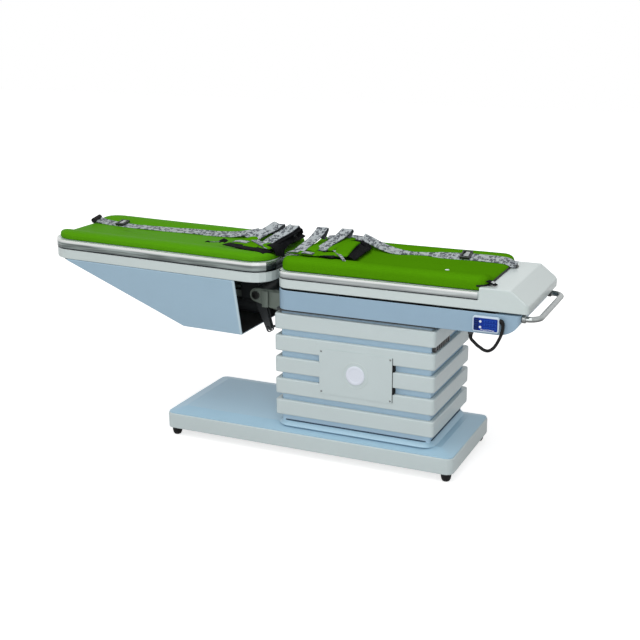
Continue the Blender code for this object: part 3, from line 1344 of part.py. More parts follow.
def make_leg_frame(leg):
    """The steel frame inside the leg shell and the roll spindle that carries it."""
    block_left = PIVOT_X - BLOCK_LENGTH
    flange_x1 = block_left - SPINDLE_SHOULDER_GAP
    flange_x0 = flange_x1 - SPINDLE_FLANGE_LENGTH
    spindle = rod(
        "roll_spindle", SPINDLE_RADIUS, (flange_x0, 0, PIVOT_Z),
        (block_left + SPINDLE_ENGAGED, 0, PIVOT_Z), leg, BRIGHT_STEEL,
    )
    flange = rod(
        "spindle_flange", SPINDLE_FLANGE_RADIUS, (flange_x0, 0, PIVOT_Z), (flange_x1, 0, PIVOT_Z), leg,
    )
    shape(spindle, flange, "UNION")

    deck_top = LEG_TRAY_BOTTOM - SEAT_GAP
    deck_bottom = deck_top - DECK_THICKNESS
    plate_x1 = flange_x0 - SEAT_GAP
    plate_x0 = plate_x1 - BULKHEAD_THICKNESS
    subframe = box(
        "leg_subframe", (plate_x0, -BULKHEAD_WIDTH / 2, deck_top - BULKHEAD_HEIGHT),
        (plate_x1, BULKHEAD_WIDTH / 2, deck_top - DECK_THICKNESS / 2), leg, GREY_PAINT,
    )
    deck_x1 = plate_x1 + DECK_OVERHANG
    deck = box(
        "frame_deck", (deck_x1 - DECK_LENGTH, -BULKHEAD_WIDTH / 2, deck_bottom),
        (deck_x1, BULKHEAD_WIDTH / 2, deck_top), leg,
    )
    shape(subframe, deck, "UNION")
    for name, sign in (("front", -1), ("back", 1)):
        y = sign * GUSSET_SPACING / 2
        gusset_x0 = plate_x0 - GUSSET_LENGTH
        outline = [
            (plate_x0 + BULKHEAD_THICKNESS / 2, deck_bottom + DECK_THICKNESS / 2),
            (gusset_x0, deck_bottom + DECK_THICKNESS / 2),
            (plate_x0 + BULKHEAD_THICKNESS / 2, deck_bottom - GUSSET_LENGTH),
        ]
        gusset = prism(
            f"gusset_{name}", [outline], y - GUSSET_THICKNESS / 2, y + GUSSET_THICKNESS / 2, "XZ", leg,
        )
        shape(subframe, gusset, "UNION")


def strap(name, x0, x1, y, valley, carrier):
    """A flat stretch of webbing that lies along a pad's valley."""
    half = WEBBING_WIDTH / 2
    outline = valley.layer(y - half, y + half, SEAT_GAP, WEBBING_THICKNESS)
    return prism(name, [outline], x0, x1, "YZ", carrier, WEBBING)


def buckle(name, x, y, valley, carrier):
    """A ladder buckle that straddles its strap."""
    half = BUCKLE_WIDTH / 2
    outline = valley.layer(y - half, y + half, WEBBING_THICKNESS + 2 * SEAT_GAP, BUCKLE_HEIGHT)
    piece = prism(
        name, [outline], x - BUCKLE_LENGTH / 2, x + BUCKLE_LENGTH / 2, "YZ", carrier, BLACK_PLASTIC,
    )
    ease_edges(piece, BUCKLE_EDGE)
    return piece


def make_harness(name, x0, x1, valley, loop_shares, carrier):
    """A padded belt folded over the split, with its webbing tails standing up from it."""
    steps = BELT_WAVE_COUNT * BELT_WAVE_STEPS
    filled = valley.floor + BELT_FILL
    stations = valley.stations(BELT_FRONT_Y, BELT_BACK_Y)
    rings = []
    for step in range(steps + 1):
        x = x0 + (x1 - x0) * step / steps
        wave = (1 - cos(2 * pi * BELT_WAVE_COUNT * step / steps)) / 2
        lift = SEAT_GAP + BELT_THICKNESS + BELT_WAVE_HEIGHT * wave
        lower = [(x, y, valley.height(y) + SEAT_GAP) for y in stations]
        upper = [(x, y, max(valley.height(y), filled) + lift) for y in reversed(stations)]
        rings.append(lower + upper)
    belt = loft(name, rings, carrier, GREEN_VINYL)
    base = filled + BELT_THICKNESS - LOOP_SINK
    for number, share in enumerate(loop_shares, start=1):
        outer = []
        inner = []
        for step in range(LOOP_STEPS + 1):
            t = step / LOOP_STEPS
            run = -LOOP_RUN / 2 + LOOP_RUN * t
            rise = LOOP_RISE * sin(pi / 2 * t) ** 2
            outer.append((run, base + rise + LOOP_THICKNESS))
            inner.append((run, base + rise))
        x = x0 + (x1 - x0) * share
        tail = prism(
            f"{name}_tail_{number}", [outer + list(reversed(inner))],
            x - WEBBING_WIDTH / 2, x + WEBBING_WIDTH / 2, "YZ", carrier,
        )
        tail.rotation_euler = (0, 0, -LOOP_TURN)
        shape(belt, tail, "UNION")


def make_soft_goods(chest, leg, chest_valley, leg_valley):
    """Straps, buckles, the folded harness on each pad and the straps' end fittings."""
    roller_x = LEG_LEFT + LEG_PAD_INSET + ROLLER_SETBACK
    rests = []
    for end in (-1, 1):
        y = LEG_STRAP_Y + end * ROLLER_LENGTH / 2
        rests.append(Vector((roller_x, y, leg_valley.height(y) + SEAT_GAP)))
    along = (rests[1] - rests[0]).normalized()
    lift = ROLLER_RADIUS * Vector((0, -along.z, along.y))
    rod("strap_knob", ROLLER_RADIUS, rests[0] + lift, rests[1] + lift, leg, RUBBER)

    harness_right = LEG_RIGHT - LEG_PAD_INSET - LEG_BELT_START
    harness_left = harness_right - LEG_BELT_LENGTH
    make_harness("leg_harness", harness_left, harness_right, leg_valley, LEG_TAIL_SHARES, leg)
    strap_x0 = roller_x + ROLLER_RADIUS + SEAT_GAP
    strap_x1 = harness_left - STRAP_END_GAP
    strap("leg_strap", strap_x0, strap_x1, LEG_STRAP_Y, leg_valley, leg)
    buckle_x = strap_x0 + LEG_BUCKLE_SHARE * (strap_x1 - strap_x0)
    buckle("leg_buckle", buckle_x, LEG_STRAP_Y, leg_valley, leg)

    harness_left = CHEST_LEFT + CHEST_PAD_INSET + CHEST_BELT_START
    harness_right = harness_left + CHEST_BELT_LENGTH
    make_harness(
        "chest_harness", harness_left, harness_right, chest_valley, CHEST_TAIL_SHARES, chest,
    )
    chest_pad_right = CHEST_RIGHT - CHEST_PAD_END_SETBACK
    strap_x0 = harness_right + STRAP_END_GAP
    strap_x1 = chest_pad_right - CHEST_PAD_SHOULDER * PAD_RING_SHARES[-1][1]
    strap("chest_strap", strap_x0, strap_x1, CHEST_STRAP_Y, chest_valley, chest)
    buckle_x = strap_x0 + CHEST_BUCKLE_SHARE * (strap_x1 - strap_x0)
    buckle("chest_buckle", buckle_x, CHEST_STRAP_Y, chest_valley, chest)
    anchor_x0 = chest_pad_right + PAD_POCKET_GAP + SEAT_GAP
    cap_top = CHEST_DECK_TOP + CAP_RISE
    anchor = box(
        "strap_anchor", (anchor_x0, CHEST_STRAP_Y - ANCHOR_WIDTH / 2, cap_top + SEAT_GAP),
        (anchor_x0 + ANCHOR_LENGTH, CHEST_STRAP_Y + ANCHOR_WIDTH / 2, cap_top + SEAT_GAP + ANCHOR_HEIGHT),
        chest, BLACK_PLASTIC,
    )
    ease_edges(anchor, BUCKLE_EDGE)

    hook_x1 = LEG_LEFT - SEAT_GAP
    hook_outline = [
        (hook_x1, LEG_BAND_TOP - HOOK_THICKNESS), (hook_x1 - HOOK_REACH, LEG_BAND_TOP - HOOK_THICKNESS),
        (hook_x1 - HOOK_REACH, LEG_BAND_TOP - HOOK_HEIGHT),
        (hook_x1 - HOOK_REACH + HOOK_THICKNESS, LEG_BAND_TOP - HOOK_HEIGHT),
        (hook_x1 - HOOK_REACH + HOOK_THICKNESS, LEG_BAND_TOP - 2 * HOOK_THICKNESS),
        (hook_x1, LEG_BAND_TOP - 2 * HOOK_THICKNESS),
    ]
    prism(
        "foot_hook", [hook_outline], HOOK_Y - HOOK_WIDTH / 2, HOOK_Y + HOOK_WIDTH / 2, "XZ", leg,
        DARK_STEEL,
    )



def middle_of_length():
    """The middle of the table along X, without the free cord."""
    bpy.context.view_layer.update()
    depsgraph = bpy.context.evaluated_depsgraph_get()
    places = []
    for obj in parts.objects:
        if obj.name == "handset_cord":
            continue
        evaluated = obj.evaluated_get(depsgraph)
        mesh = evaluated.to_mesh()
        places += [(evaluated.matrix_world @ vertex.co).x for vertex in mesh.vertices]
        evaluated.to_mesh_clear()
    return (min(places) + max(places)) / 2


clear_scene()
parts = new_collection("traction_table")
cutters = new_collection("shaping_tools")
guides = new_collection("axes")

WHITE_PAINT = new_finish("white_paint", (0.56, 0.62, 0.62), 0.38)
WHITE_GLOSS = new_finish("white_gloss", (0.58, 0.64, 0.63), 0.30)
WHITE_PLASTIC = new_finish("white_plastic", (0.60, 0.66, 0.68), 0.40)
BLUE_PAINT = new_finish("blue_paint", (0.30, 0.43, 0.55), 0.40)
BLUE_MEMBRANE = new_finish("blue_membrane", (0.01, 0.06, 0.33), 0.35)
GREEN_VINYL = new_finish("green_vinyl", (0.08, 0.26, 0.005), 0.42)
WEBBING = new_finish("webbing", (0.45, 0.48, 0.52), 0.80)
BRIGHT_STEEL = new_finish("bright_steel", (0.62, 0.63, 0.64), 0.18, 1.0)
DARK_STEEL = new_finish("dark_steel", (0.05, 0.06, 0.06), 0.45, 0.6)
GREY_PAINT = new_finish("grey_paint", (0.22, 0.26, 0.24), 0.50)
BLACK_PLASTIC = new_finish("black_plastic", (0.015, 0.016, 0.018), 0.40)
PALE_DISC = new_finish("pale_disc", (0.68, 0.73, 0.74), 0.35)
RUBBER = new_finish("rubber", (0.012, 0.012, 0.013), 0.60)

table = Carrier("table_origin", (0, 0, 0))
chest_axis = Carrier("traction_slide_axis", (CHEST_LEFT, 0, HOUSING_TOP), table)
pitch_axis = Carrier("leg_pitch_axis", (PIVOT_X, 0, PIVOT_Z), table, tilt=LEG_REST_PITCH)
roll_axis = Carrier("leg_roll_axis", (PIVOT_X, 0, PIVOT_Z), pitch_axis)
rod_axis = Carrier("pitch_rod_axis", along_rod(0), table)

make_base(table)
column_core = make_column(table)
make_housing(table)
make_slides(table, chest_axis)
make_traction_drive(table, chest_axis)
make_handle(table)
make_handset(table)
make_bracket(table)
make_pitch_drive(table, rod_axis, column_core)
make_yoke(pitch_axis)
make_leg_frame(roll_axis)
make_hull(roll_axis)
leg_pad_valley = make_leg_top(roll_axis)
chest_pad_valley = make_chest_top(chest_axis)
make_soft_goods(chest_axis, roll_axis, chest_pad_valley, leg_pad_valley)
table.empty.location.x = -middle_of_length()
bpy.context.view_layer.update()
for carrier in (chest_axis, pitch_axis, roll_axis, rod_axis):
    print(carrier.empty.name, [round(value, 6) for value in carrier.empty.matrix_world.translation])
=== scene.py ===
"""Traction table: finishes, soft goods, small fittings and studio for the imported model.

Every place is written in table positions: X from the middle of the base towards the head
end, Y towards the back and Z up from the floor. A Section moves them to the frame of the
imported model, with the rest tilt of the leg section where a piece rides on it. Lengths are
in metres, apart from the bands' widths and the routes that are written as text, which are in
millimetres.
"""

import json
import logging
from dataclasses import dataclass, replace
from enum import Enum
from math import cos, pi, radians, sin
from typing import ClassVar, Iterable, Optional, Sequence, Union

import bmesh
import bpy
from mathutils import Matrix, Vector, noise

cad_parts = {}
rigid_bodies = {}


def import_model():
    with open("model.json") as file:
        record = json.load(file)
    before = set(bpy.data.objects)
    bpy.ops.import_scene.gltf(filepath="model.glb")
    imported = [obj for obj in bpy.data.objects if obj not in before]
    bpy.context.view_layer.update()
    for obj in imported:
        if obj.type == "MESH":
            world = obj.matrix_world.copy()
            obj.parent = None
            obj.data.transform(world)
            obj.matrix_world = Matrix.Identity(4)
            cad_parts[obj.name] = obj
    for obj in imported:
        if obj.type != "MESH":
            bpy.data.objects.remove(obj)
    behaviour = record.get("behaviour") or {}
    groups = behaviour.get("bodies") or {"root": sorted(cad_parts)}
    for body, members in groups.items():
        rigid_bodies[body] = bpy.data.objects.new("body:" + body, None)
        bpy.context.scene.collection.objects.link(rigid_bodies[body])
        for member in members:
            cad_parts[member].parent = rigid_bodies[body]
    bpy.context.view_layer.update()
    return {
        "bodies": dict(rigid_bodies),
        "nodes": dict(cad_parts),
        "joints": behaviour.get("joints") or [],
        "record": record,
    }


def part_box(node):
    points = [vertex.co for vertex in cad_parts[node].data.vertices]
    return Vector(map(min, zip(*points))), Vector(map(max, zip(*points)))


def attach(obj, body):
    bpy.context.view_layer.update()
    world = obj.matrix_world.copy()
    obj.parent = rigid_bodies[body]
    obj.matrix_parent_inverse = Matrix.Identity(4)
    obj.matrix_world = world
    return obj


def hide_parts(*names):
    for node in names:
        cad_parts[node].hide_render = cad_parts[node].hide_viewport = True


LOG = logging.getLogger("traction_table")
Point = Sequence[float]
Pair = tuple[float, float]
Colour = tuple[float, float, float]
Mesh = bmesh.types.BMesh
Node = bpy.types.Node
Socket = bpy.types.NodeSocket
Source = Union[float, Point, Socket]

COLUMN_CENTRE_X = 0.208
SKIRT_BOTTOM = 0.021
PIVOT = Vector((-0.270, 0.0, 0.600))
LEG_REST_TILT = radians(1.1)
MILLIMETRES = 1000
WHITE = (1.0, 1.0, 1.0)
FRONT = (0, -1, 0)
UPWARDS = (0, 0, 1)


def shade(red: int, green: int, blue: int) -> Colour:
    """Turn a display colour into the linear one that shaders take.

    Args:
        red: Red from 0 to 255.
        green: Green from 0 to 255.
        blue: Blue from 0 to 255.

    Returns:
        The linear colour.
    """
    values = (channel / 255 for channel in (red, green, blue))
    return tuple(v / 12.92 if v <= 0.04045 else ((v + 0.055) / 1.055) ** 2.4 for v in values)


def darker(colour: Colour, share: float) -> Colour:
    """A colour at a share of its light."""
    return tuple(channel * share for channel in colour)


def opaque(value: object) -> object:
    """Give a plain colour its alpha and leave anything else as it is."""
    return (*value, 1.0) if isinstance(value, tuple) and len(value) == 3 else value


def read_route(text: str) -> list[Point]:
    """Points in metres from a text of millimetres, such as "-350 -105 806, -346 -60 799"."""
    return [tuple(float(part) / MILLIMETRES for part in point.split()) for point in text.split(",")]


class Body(Enum):
    """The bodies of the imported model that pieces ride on."""

    STAND = "stand"
    CHEST = "chest_table"
    LEG = "leg_table"


@dataclass(frozen=True)
class Section:
    """A part of the table whose pieces are laid out level, in table positions."""

    body: Body
    shift: float
    lift: float
    tilt: float = 0.0

    def matrix(self) -> Matrix:
        """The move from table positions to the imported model's frame."""
        turn = Matrix.Translation(PIVOT) @ Matrix.Rotation(self.tilt, 4, "Y") @ Matrix.Translation(-PIVOT)
        return Matrix.Translation((self.shift, 0, self.lift)) @ turn


class Tree:
    """A shader node tree that is filled in step by step."""

    def __init__(self, tree: bpy.types.NodeTree) -> None:
        """Keep the tree to fill."""
        self.tree = tree

    def feed(self, node: Node, inputs: dict) -> None:
        """Give a node its inputs.

        Args:
            node: The node.
            inputs: Values or output sockets by the name or number of an input.
        """
        for key, value in inputs.items():
            socket = node.inputs[key]
            if isinstance(value, Socket):
                self.tree.links.new(value, socket)
            else:
                socket.default_value = opaque(value) if socket.type == "RGBA" else value

    def add(self, kind: str, inputs: Optional[dict] = None, **settings: object) -> Node:
        """Add a node.

        Args:
            kind: The node's type name after ShaderNode.
            inputs: Values or output sockets by the name or number of an input.
            settings: Attributes of the node itself.

        Returns:
            The new node.
        """
        node = self.tree.nodes.new("ShaderNode" + kind)
        for name, value in settings.items():
            setattr(node, name, value)
        self.feed(node, inputs or {})
        return node

    def math(self, operation: str, first: Source, second: Source = 0.0, clamp: bool = False) -> Socket:
        """Work out a value from two others.

        Args:
            operation: The Math node's operation.
            first: The first value or socket.
            second: The second value or socket.
            clamp: Whether the result stays from 0 to 1.

        Returns:
            The output socket.
        """
        return self.add("Math", {0: first, 1: second}, operation=operation, use_clamp=clamp).outputs[0]

    def times(self, first: Source, second: Source, clamp: bool = False) -> Socket:
        """The product of two values."""
        return self.math("MULTIPLY", first, second, clamp)

    def plus(self, first: Source, second: Source, clamp: bool = False) -> Socket:
        """The sum of two values."""
        return self.math("ADD", first, second, clamp)

    def ramp(self, value: Socket, low: float, high: float,
             to_low: float = 0.0, to_high: float = 1.0) -> Socket:
        """Map a value smoothly from one range to another.

        Args:
            value: The socket to map.
            low: The value that gives to_low.
            high: The value that gives to_high.
            to_low: The result at low.
            to_high: The result at high.

        Returns:
            The output socket.
        """
        inputs = {0: value, 1: low, 2: high, 3: to_low, 4: to_high}
        return self.add("MapRange", inputs, interpolation_type="SMOOTHSTEP", clamp=True).outputs[0]

    def blend(self, factor: Source, first: Source, second: Source, mode: str = "MIX") -> Socket:
        """Mix two colours.

        Args:
            factor: How much of the second colour shows.
            first: The first colour or socket.
            second: The second colour or socket.
            mode: The Mix node's blend type.

        Returns:
            The output socket.
        """
        inputs = {0: factor, 6: first, 7: second}
        return self.add("Mix", inputs, data_type="RGBA", blend_type=mode).outputs[2]

    def place(self, stretch: Point = (1, 1, 1)) -> Socket:
        """Object positions in metres, stretched along their axes."""
        where = self.add("TexCoord").outputs["Object"]
        return self.add("Mapping", {"Vector": where, "Scale": tuple(stretch)}).outputs[0]

    def cloud(self, where: Socket, scale: Source, detail: float) -> Socket:
        """The value of a Noise texture."""
        return self.add("TexNoise", {"Vector": where, "Scale": scale, "Detail": detail}).outputs[0]

    def span(self, operation: str, other: Point = (0, 0, 0)) -> Socket:
        """The single value that a Vector Math node gives for the object position."""
        return self.add("VectorMath", {0: self.place(), 1: other}, operation=operation).outputs["Value"]

    def facing(self) -> Sequence[Socket]:
        """The three parts of the surface's normal."""
        return self.add("SeparateXYZ", {0: self.add("NewGeometry").outputs["Normal"]}).outputs


class SharedEffects:
    """The shader node groups that several finishes use, each built once."""

    def __init__(self) -> None:
        """Build the four groups."""
        self.age = self.build_age()
        self.grain = self.build_grain()
        self.brush = self.build_brush()
        self.weave = self.build_weave()

    @staticmethod
    def start(name: str, inputs: dict, outputs: dict) -> tuple[Tree, dict, Node]:
        """Make an empty group with its sockets.

        Args:
            name: The group's name.
            inputs: Default values by input name: a number, a vector or a colour with its alpha.
            outputs: Socket types by output name.

        Returns:
            The group's tree, its input sockets by name and its output node.
        """
        group = bpy.data.node_groups.new(name, "ShaderNodeTree")
        for label, value in inputs.items():
            kind = {3: "Vector", 4: "Color"}[len(value)] if isinstance(value, tuple) else "Float"
            socket = group.interface.new_socket(label, in_out="INPUT", socket_type="NodeSocket" + kind)
            socket.default_value = value
        for label, kind in outputs.items():
            group.interface.new_socket(label, in_out="OUTPUT", socket_type="NodeSocket" + kind)
        entry = group.nodes.new("NodeGroupInput")
        leave = group.nodes.new("NodeGroupOutput")
        return Tree(group), {label: entry.outputs[label] for label in inputs}, leave

    def build_age(self) -> bpy.types.NodeTree:
        """Colour mottle, dust on upward faces and smudges in the roughness.

        Returns:
            The group.
        """
        tree, given, leave = self.start("surface_age", {
            "Colour": (0.5, 0.5, 0.5, 1), "Dust Colour": (0.5, 0.5, 0.5, 1), "Mottle": 0.05, "Dust": 0.1,
            "Scale": 9.0, "Roughness": 0.4, "Smudge": 0.06,
        }, {"Colour": "Color", "Roughness": "Float"})
        where = tree.place()
        broad = tree.cloud(where, given["Scale"], 5.0)
        speck = tree.cloud(where, tree.times(given["Scale"], 14.0), 3.0)
        both = tree.plus(tree.times(broad, 0.7), tree.times(speck, 0.3))
        swing = tree.times(tree.math("SUBTRACT", both, 0.5), given["Mottle"])
        bright = tree.plus(tree.times(swing, 2.0), 1.0)
        grey = tree.add("CombineColor", {0: bright, 1: bright, 2: bright}).outputs[0]
        toned = tree.blend(1.0, given["Colour"], grey, "MULTIPLY")
        lying = tree.times(tree.ramp(tree.facing()[2], 0.5, 0.95), tree.ramp(broad, 0.35, 0.7, 0.4, 1.0))
        settled = tree.times(lying, given["Dust"], True)
        rub = tree.times(tree.math("SUBTRACT", broad, 0.5), given["Smudge"])
        rough = tree.plus(given["Roughness"], tree.times(rub, 2.0))
        tree.feed(leave, {
            "Colour": tree.blend(settled, toned, given["Dust Colour"]),
            "Roughness": tree.plus(rough, tree.times(settled, 0.2), True),
        })
        return tree.tree

    def build_grain(self) -> bpy.types.NodeTree:
        """A pebbled skin, from leather grain to the orange peel of paint.

        Returns:
            The group.
        """
        tree, given, leave = self.start(
            "pebble_grain", {"Scale": 400.0, "Creases": 0.3}, {"Height": "Float", "Pores": "Float"},
        )
        where = tree.place()
        inputs = {"Vector": where, "Scale": given["Scale"]}
        cells = tree.add("TexVoronoi", inputs, feature="SMOOTH_F1").outputs[0]
        soft = tree.cloud(where, tree.times(given["Scale"], 0.12), 4.0)
        body = tree.times(tree.math("SUBTRACT", 1.0, cells), 0.6)
        height = tree.plus(body, tree.times(soft, given["Creases"]))
        tree.feed(leave, {"Height": height, "Pores": tree.ramp(cells, 0.35, 0.8)})
        return tree.tree

    def build_brush(self) -> bpy.types.NodeTree:
        """Fine parallel brush lines.

        Returns:
            The group.
        """
        tree, given, leave = self.start(
            "brush_lines", {"Stretch": (20.0, 900.0, 900.0)}, {"Height": "Float"},
        )
        inputs = {0: tree.place(), 1: given["Stretch"]}
        drawn = tree.add("VectorMath", inputs, operation="MULTIPLY").outputs[0]
        tree.feed(leave, {"Height": tree.cloud(drawn, 1.0, 2.0)})
        return tree.tree

    def build_weave(self) -> bpy.types.NodeTree:
        """A tight plain weave with threads that differ a little.

        Returns:
            The group.
        """
        tree, given, leave = self.start(
            "tight_weave", {"Threads": 700.0, "Uneven": 0.25}, {"Height": "Float"},
        )
        where = tree.place()
        parts = tree.add("SeparateXYZ", {0: where}).outputs
        waves = []
        for part in parts[:2]:
            along = tree.plus(part, tree.times(parts[2], 0.7))
            waves.append(tree.math("SINE", tree.times(along, given["Threads"])))
        crossing = tree.times(tree.times(*waves), 0.5)
        uneven = tree.times(tree.cloud(where, 90.0, 3.0), given["Uneven"])
        tree.feed(leave, {"Height": tree.plus(crossing, uneven)})
        return tree.tree


@dataclass(frozen=True)
class Finish:
    """A surface finish: its colour and gloss, the age that it shows and its fine relief."""

    name: str
    colour: Colour
    roughness: float
    mottle: float
    dust: float
    bump: float
    grain_scale: float = 500.0
    metallic: float = 0.0
    dust_colour: Colour = (0.55, 0.56, 0.56)
    smudge: float = 0.05
    mottle_scale: float = 9.0
    creases: float = 0.4
    depth: float = 0.0004
    coat: float = 0.0
    coat_roughness: float = 0.1
    specular: float = 0.5

    def relief(self, tree: Tree, effects: SharedEffects) -> Node:
        """Place the group that draws the fine relief."""
        inputs = {"Scale": self.grain_scale, "Creases": self.creases}
        return tree.add("Group", inputs, node_tree=effects.grain)

    def drawn(self, tree: Tree, relief: Node) -> Source:
        """The colour before age, plain unless a finish draws something."""
        return self.colour

    def swell(self, tree: Tree) -> dict:
        """The slow marks that the relief lies on, none unless a finish has them."""
        return {}

    def build(self, effects: SharedEffects) -> bpy.types.Material:
        """Make the whole material.

        Args:
            effects: The shared node groups.

        Returns:
            The material.
        """
        material = bpy.data.materials.new(self.name)
        material.use_nodes = True
        material.diffuse_color = opaque(self.colour)
        tree = Tree(material.node_tree)
        relief = self.relief(tree, effects)
        age = tree.add("Group", {
            "Colour": self.drawn(tree, relief), "Dust Colour": self.dust_colour, "Mottle": self.mottle,
            "Dust": self.dust, "Scale": self.mottle_scale, "Roughness": self.roughness,
            "Smudge": self.smudge,
        }, node_tree=effects.age)
        bump = tree.add("Bump", {
            "Strength": self.bump, "Distance": self.depth, "Height": relief.outputs["Height"],
            **self.swell(tree),
        })
        tree.feed(material.node_tree.nodes["Principled BSDF"], {
            "Metallic": self.metallic, "Coat Weight": self.coat, "Coat Roughness": self.coat_roughness,
            "Specular IOR Level": self.specular, "Base Color": age.outputs["Colour"],
            "Roughness": age.outputs["Roughness"], "Normal": bump.outputs[0],
        })
        return material


@dataclass(frozen=True)
class ShellPaint(Finish):
    """Paint outside, a lighter rim at the mouth and near-black on the faces inside the leg shell."""

    shift: float = 0.0
    lift: float = 0.0
    inner_dark: Colour = (0.008, 0.009, 0.010)
    inner_wall: float = 0.227
    rim: Colour = (0.44, 0.56, 0.62)
    rim_lean: Point = (0.9889, 0.0, 0.1488)
    rim_reach: float = 0.1907

    def drawn(self, tree: Tree, relief: Node) -> Source:
        """Paint on faces that look outwards, near-black on those that look in.

        Args:
            tree: The material's tree.
            relief: The group that draws the relief; not used here.

        Returns:
            The colour's socket.
        """
        across = tree.add("SeparateXYZ", {0: tree.place()}).outputs[1]
        facing = tree.facing()
        inward = tree.times(tree.times(facing[1], tree.math("SIGN", across)), -1.0)
        sides = tree.math("GREATER_THAN", inward, 0.3)
        floor = tree.math("GREATER_THAN", facing[2], 0.5)
        deep = tree.math("LESS_THAN", tree.math("ABSOLUTE", across), self.inner_wall)
        inside = tree.times(tree.math("MAXIMUM", sides, floor), deep, True)
        still = self.rim_reach - self.shift * self.rim_lean[0] - self.lift * self.rim_lean[2]
        past = tree.plus(tree.span("DOT_PRODUCT", self.rim_lean), still)
        painted = tree.blend(tree.ramp(past, -0.014, -0.010), self.colour, self.rim)
        # Faces that look into the shell are drawn near-black.
        return tree.blend(inside, painted, self.inner_dark)


@dataclass(frozen=True)
class Steel(Finish):
    """Bright steel with brush lines, polishing streaks along one axis and painted shade on faces that look
    down.
    """

    stretch: Point = (14.0, 900.0, 900.0)
    streaks: float = 0.25
    # How strongly the painted shade darkens faces that look down.
    underside: float = 0.72
    shadow: Colour = (0.055, 0.052, 0.048)

    def relief(self, tree: Tree, effects: SharedEffects) -> Node:
        """Place brush lines instead of grain."""
        return tree.add("Group", {"Stretch": self.stretch}, node_tree=effects.brush)

    def drawn(self, tree: Tree, relief: Node) -> Source:
        """Steel with darker streaks and painted shade on faces that look down.

        Args:
            tree: The material's tree.
            relief: The group that draws the relief; not used here.

        Returns:
            The colour's socket.
        """
        wide = tree.cloud(tree.place(self.stretch), 0.05, 3.0)
        streak = tree.ramp(wide, 0.4, 0.65, 0.0, self.streaks)
        lit = tree.blend(streak, self.colour, darker(self.colour, 0.55))
        # Painted shade: faces that look down blend towards the shadow colour.
        under = tree.ramp(tree.facing()[2], 0.55, -0.55, 0.0, self.underside)
        return tree.blend(under, lit, self.shadow)


@dataclass(frozen=True)
class TrimSteel(Steel):
    """A rolled steel edge strip with painted reflection bands: a painted highlight along its top, a brushed
    face with painted shade towards its bottom and a dark line along its bottom edge.
    """

    shift: float = 0.0
    lift: float = 0.0
    bottom: float = 0.0
    height: float = 0.03
    tilt: float = 0.0
    dim: float = 0.42
    foot: float = 0.55
    painted_highlight: Colour = (0.70, 0.72, 0.71)
    bottom_dark_line: Colour = (0.02, 0.024, 0.028)

    def drawn(self, tree: Tree, relief: Node) -> Source:
        """A painted highlight at the top, a streaked face, painted shade towards the bottom and a dark line
        at the bottom edge.

        Args:
            tree: The material's tree.
            relief: The group that draws the relief; not used here.

        Returns:
            The colour's socket.
        """
        lean = (sin(self.tilt), 0.0, cos(self.tilt))
        still = PIVOT.z - (self.shift + PIVOT.x) * lean[0] - (self.lift + PIVOT.z) * lean[2]
        above = tree.plus(tree.span("DOT_PRODUCT", lean), still - self.bottom)
        rise = tree.math("DIVIDE", above, self.height)
        wide = tree.cloud(tree.place((3.0, 3.0, 60.0)), 1.6, 4.0)
        face = tree.blend(tree.ramp(wide, 0.38, 0.62), self.colour, darker(self.colour, self.dim))
        # Painted shade: the face darkens towards the bottom of the strip.
        lower = tree.blend(tree.ramp(rise, 0.42, 0.14, 0.0, self.foot), face, darker(self.colour, 0.30))
        # Painted highlight: a light band along the top of the strip.
        upper = tree.blend(tree.ramp(rise, 0.62, 0.80), lower, self.painted_highlight)
        # A dark line along the bottom edge of the strip.
        return tree.blend(tree.ramp(rise, 0.14, 0.10), upper, self.bottom_dark_line)


@dataclass(frozen=True)
class Webbing(Finish):
    """Woven webbing with darker flecks scattered along it."""

    depth: float = 0.0005
    flecks: Colour = (0.10, 0.11, 0.13)
    fleck_share: float = 0.5

    def relief(self, tree: Tree, effects: SharedEffects) -> Node:
        """Place the weave's threads instead of grain."""
        return tree.add("Group", {"Threads": 1500.0, "Uneven": 0.3}, node_tree=effects.weave)

    def drawn(self, tree: Tree, relief: Node) -> Source:
        """Pale thread with soft grey flecks.

        Args:
            tree: The material's tree.
            relief: The group that draws the relief; not used here.

        Returns:
            The colour's socket.
        """
        where = tree.place((1.0, 1.0, 0.6))
        inputs = {"Vector": where, "Scale": 66.0}
        cells = tree.add("TexVoronoi", inputs, distance="CHEBYCHEV").outputs["Distance"]
        broken = tree.ramp(tree.cloud(where, 150.0, 1.0), 0.36, 0.50)
        blocks = tree.times(tree.ramp(cells, 0.50, 0.40), broken, True)
        mask = tree.times(blocks, tree.ramp(tree.cloud(where, 24.0, 3.0), 0.30, 0.46), True)
        return tree.blend(tree.times(mask, self.fleck_share), self.colour, self.flecks)


@dataclass(frozen=True)
class Vinyl(Finish):
    """Upholstery vinyl with a fine leather grain and slow stretch marks."""

    grain_scale: float = 620.0
    dust_colour: Colour = (0.20, 0.42, 0.08)
    smudge: float = 0.06
    mottle_scale: float = 4.0
    creases: float = 0.8
    depth: float = 0.0003
    pores: Colour = (0.02, 0.09, 0.002)

    def drawn(self, tree: Tree, relief: Node) -> Source:
        """Vinyl with its pores darker than its skin."""
        return tree.blend(tree.times(relief.outputs["Pores"], 0.12), self.colour, self.pores)

    def swell(self, tree: Tree) -> dict:
        """Slow stretch marks under the grain.

        Args:
            tree: The material's tree.

        Returns:
            The marks as the relief's Normal input.
        """
        pulls = tree.cloud(tree.place((3.0, 16.0, 16.0)), 1.0, 3.0)
        slow = tree.add("Bump", {"Strength": 0.25, "Distance": 0.004, "Height": pulls})
        return {"Normal": slow.outputs[0]}


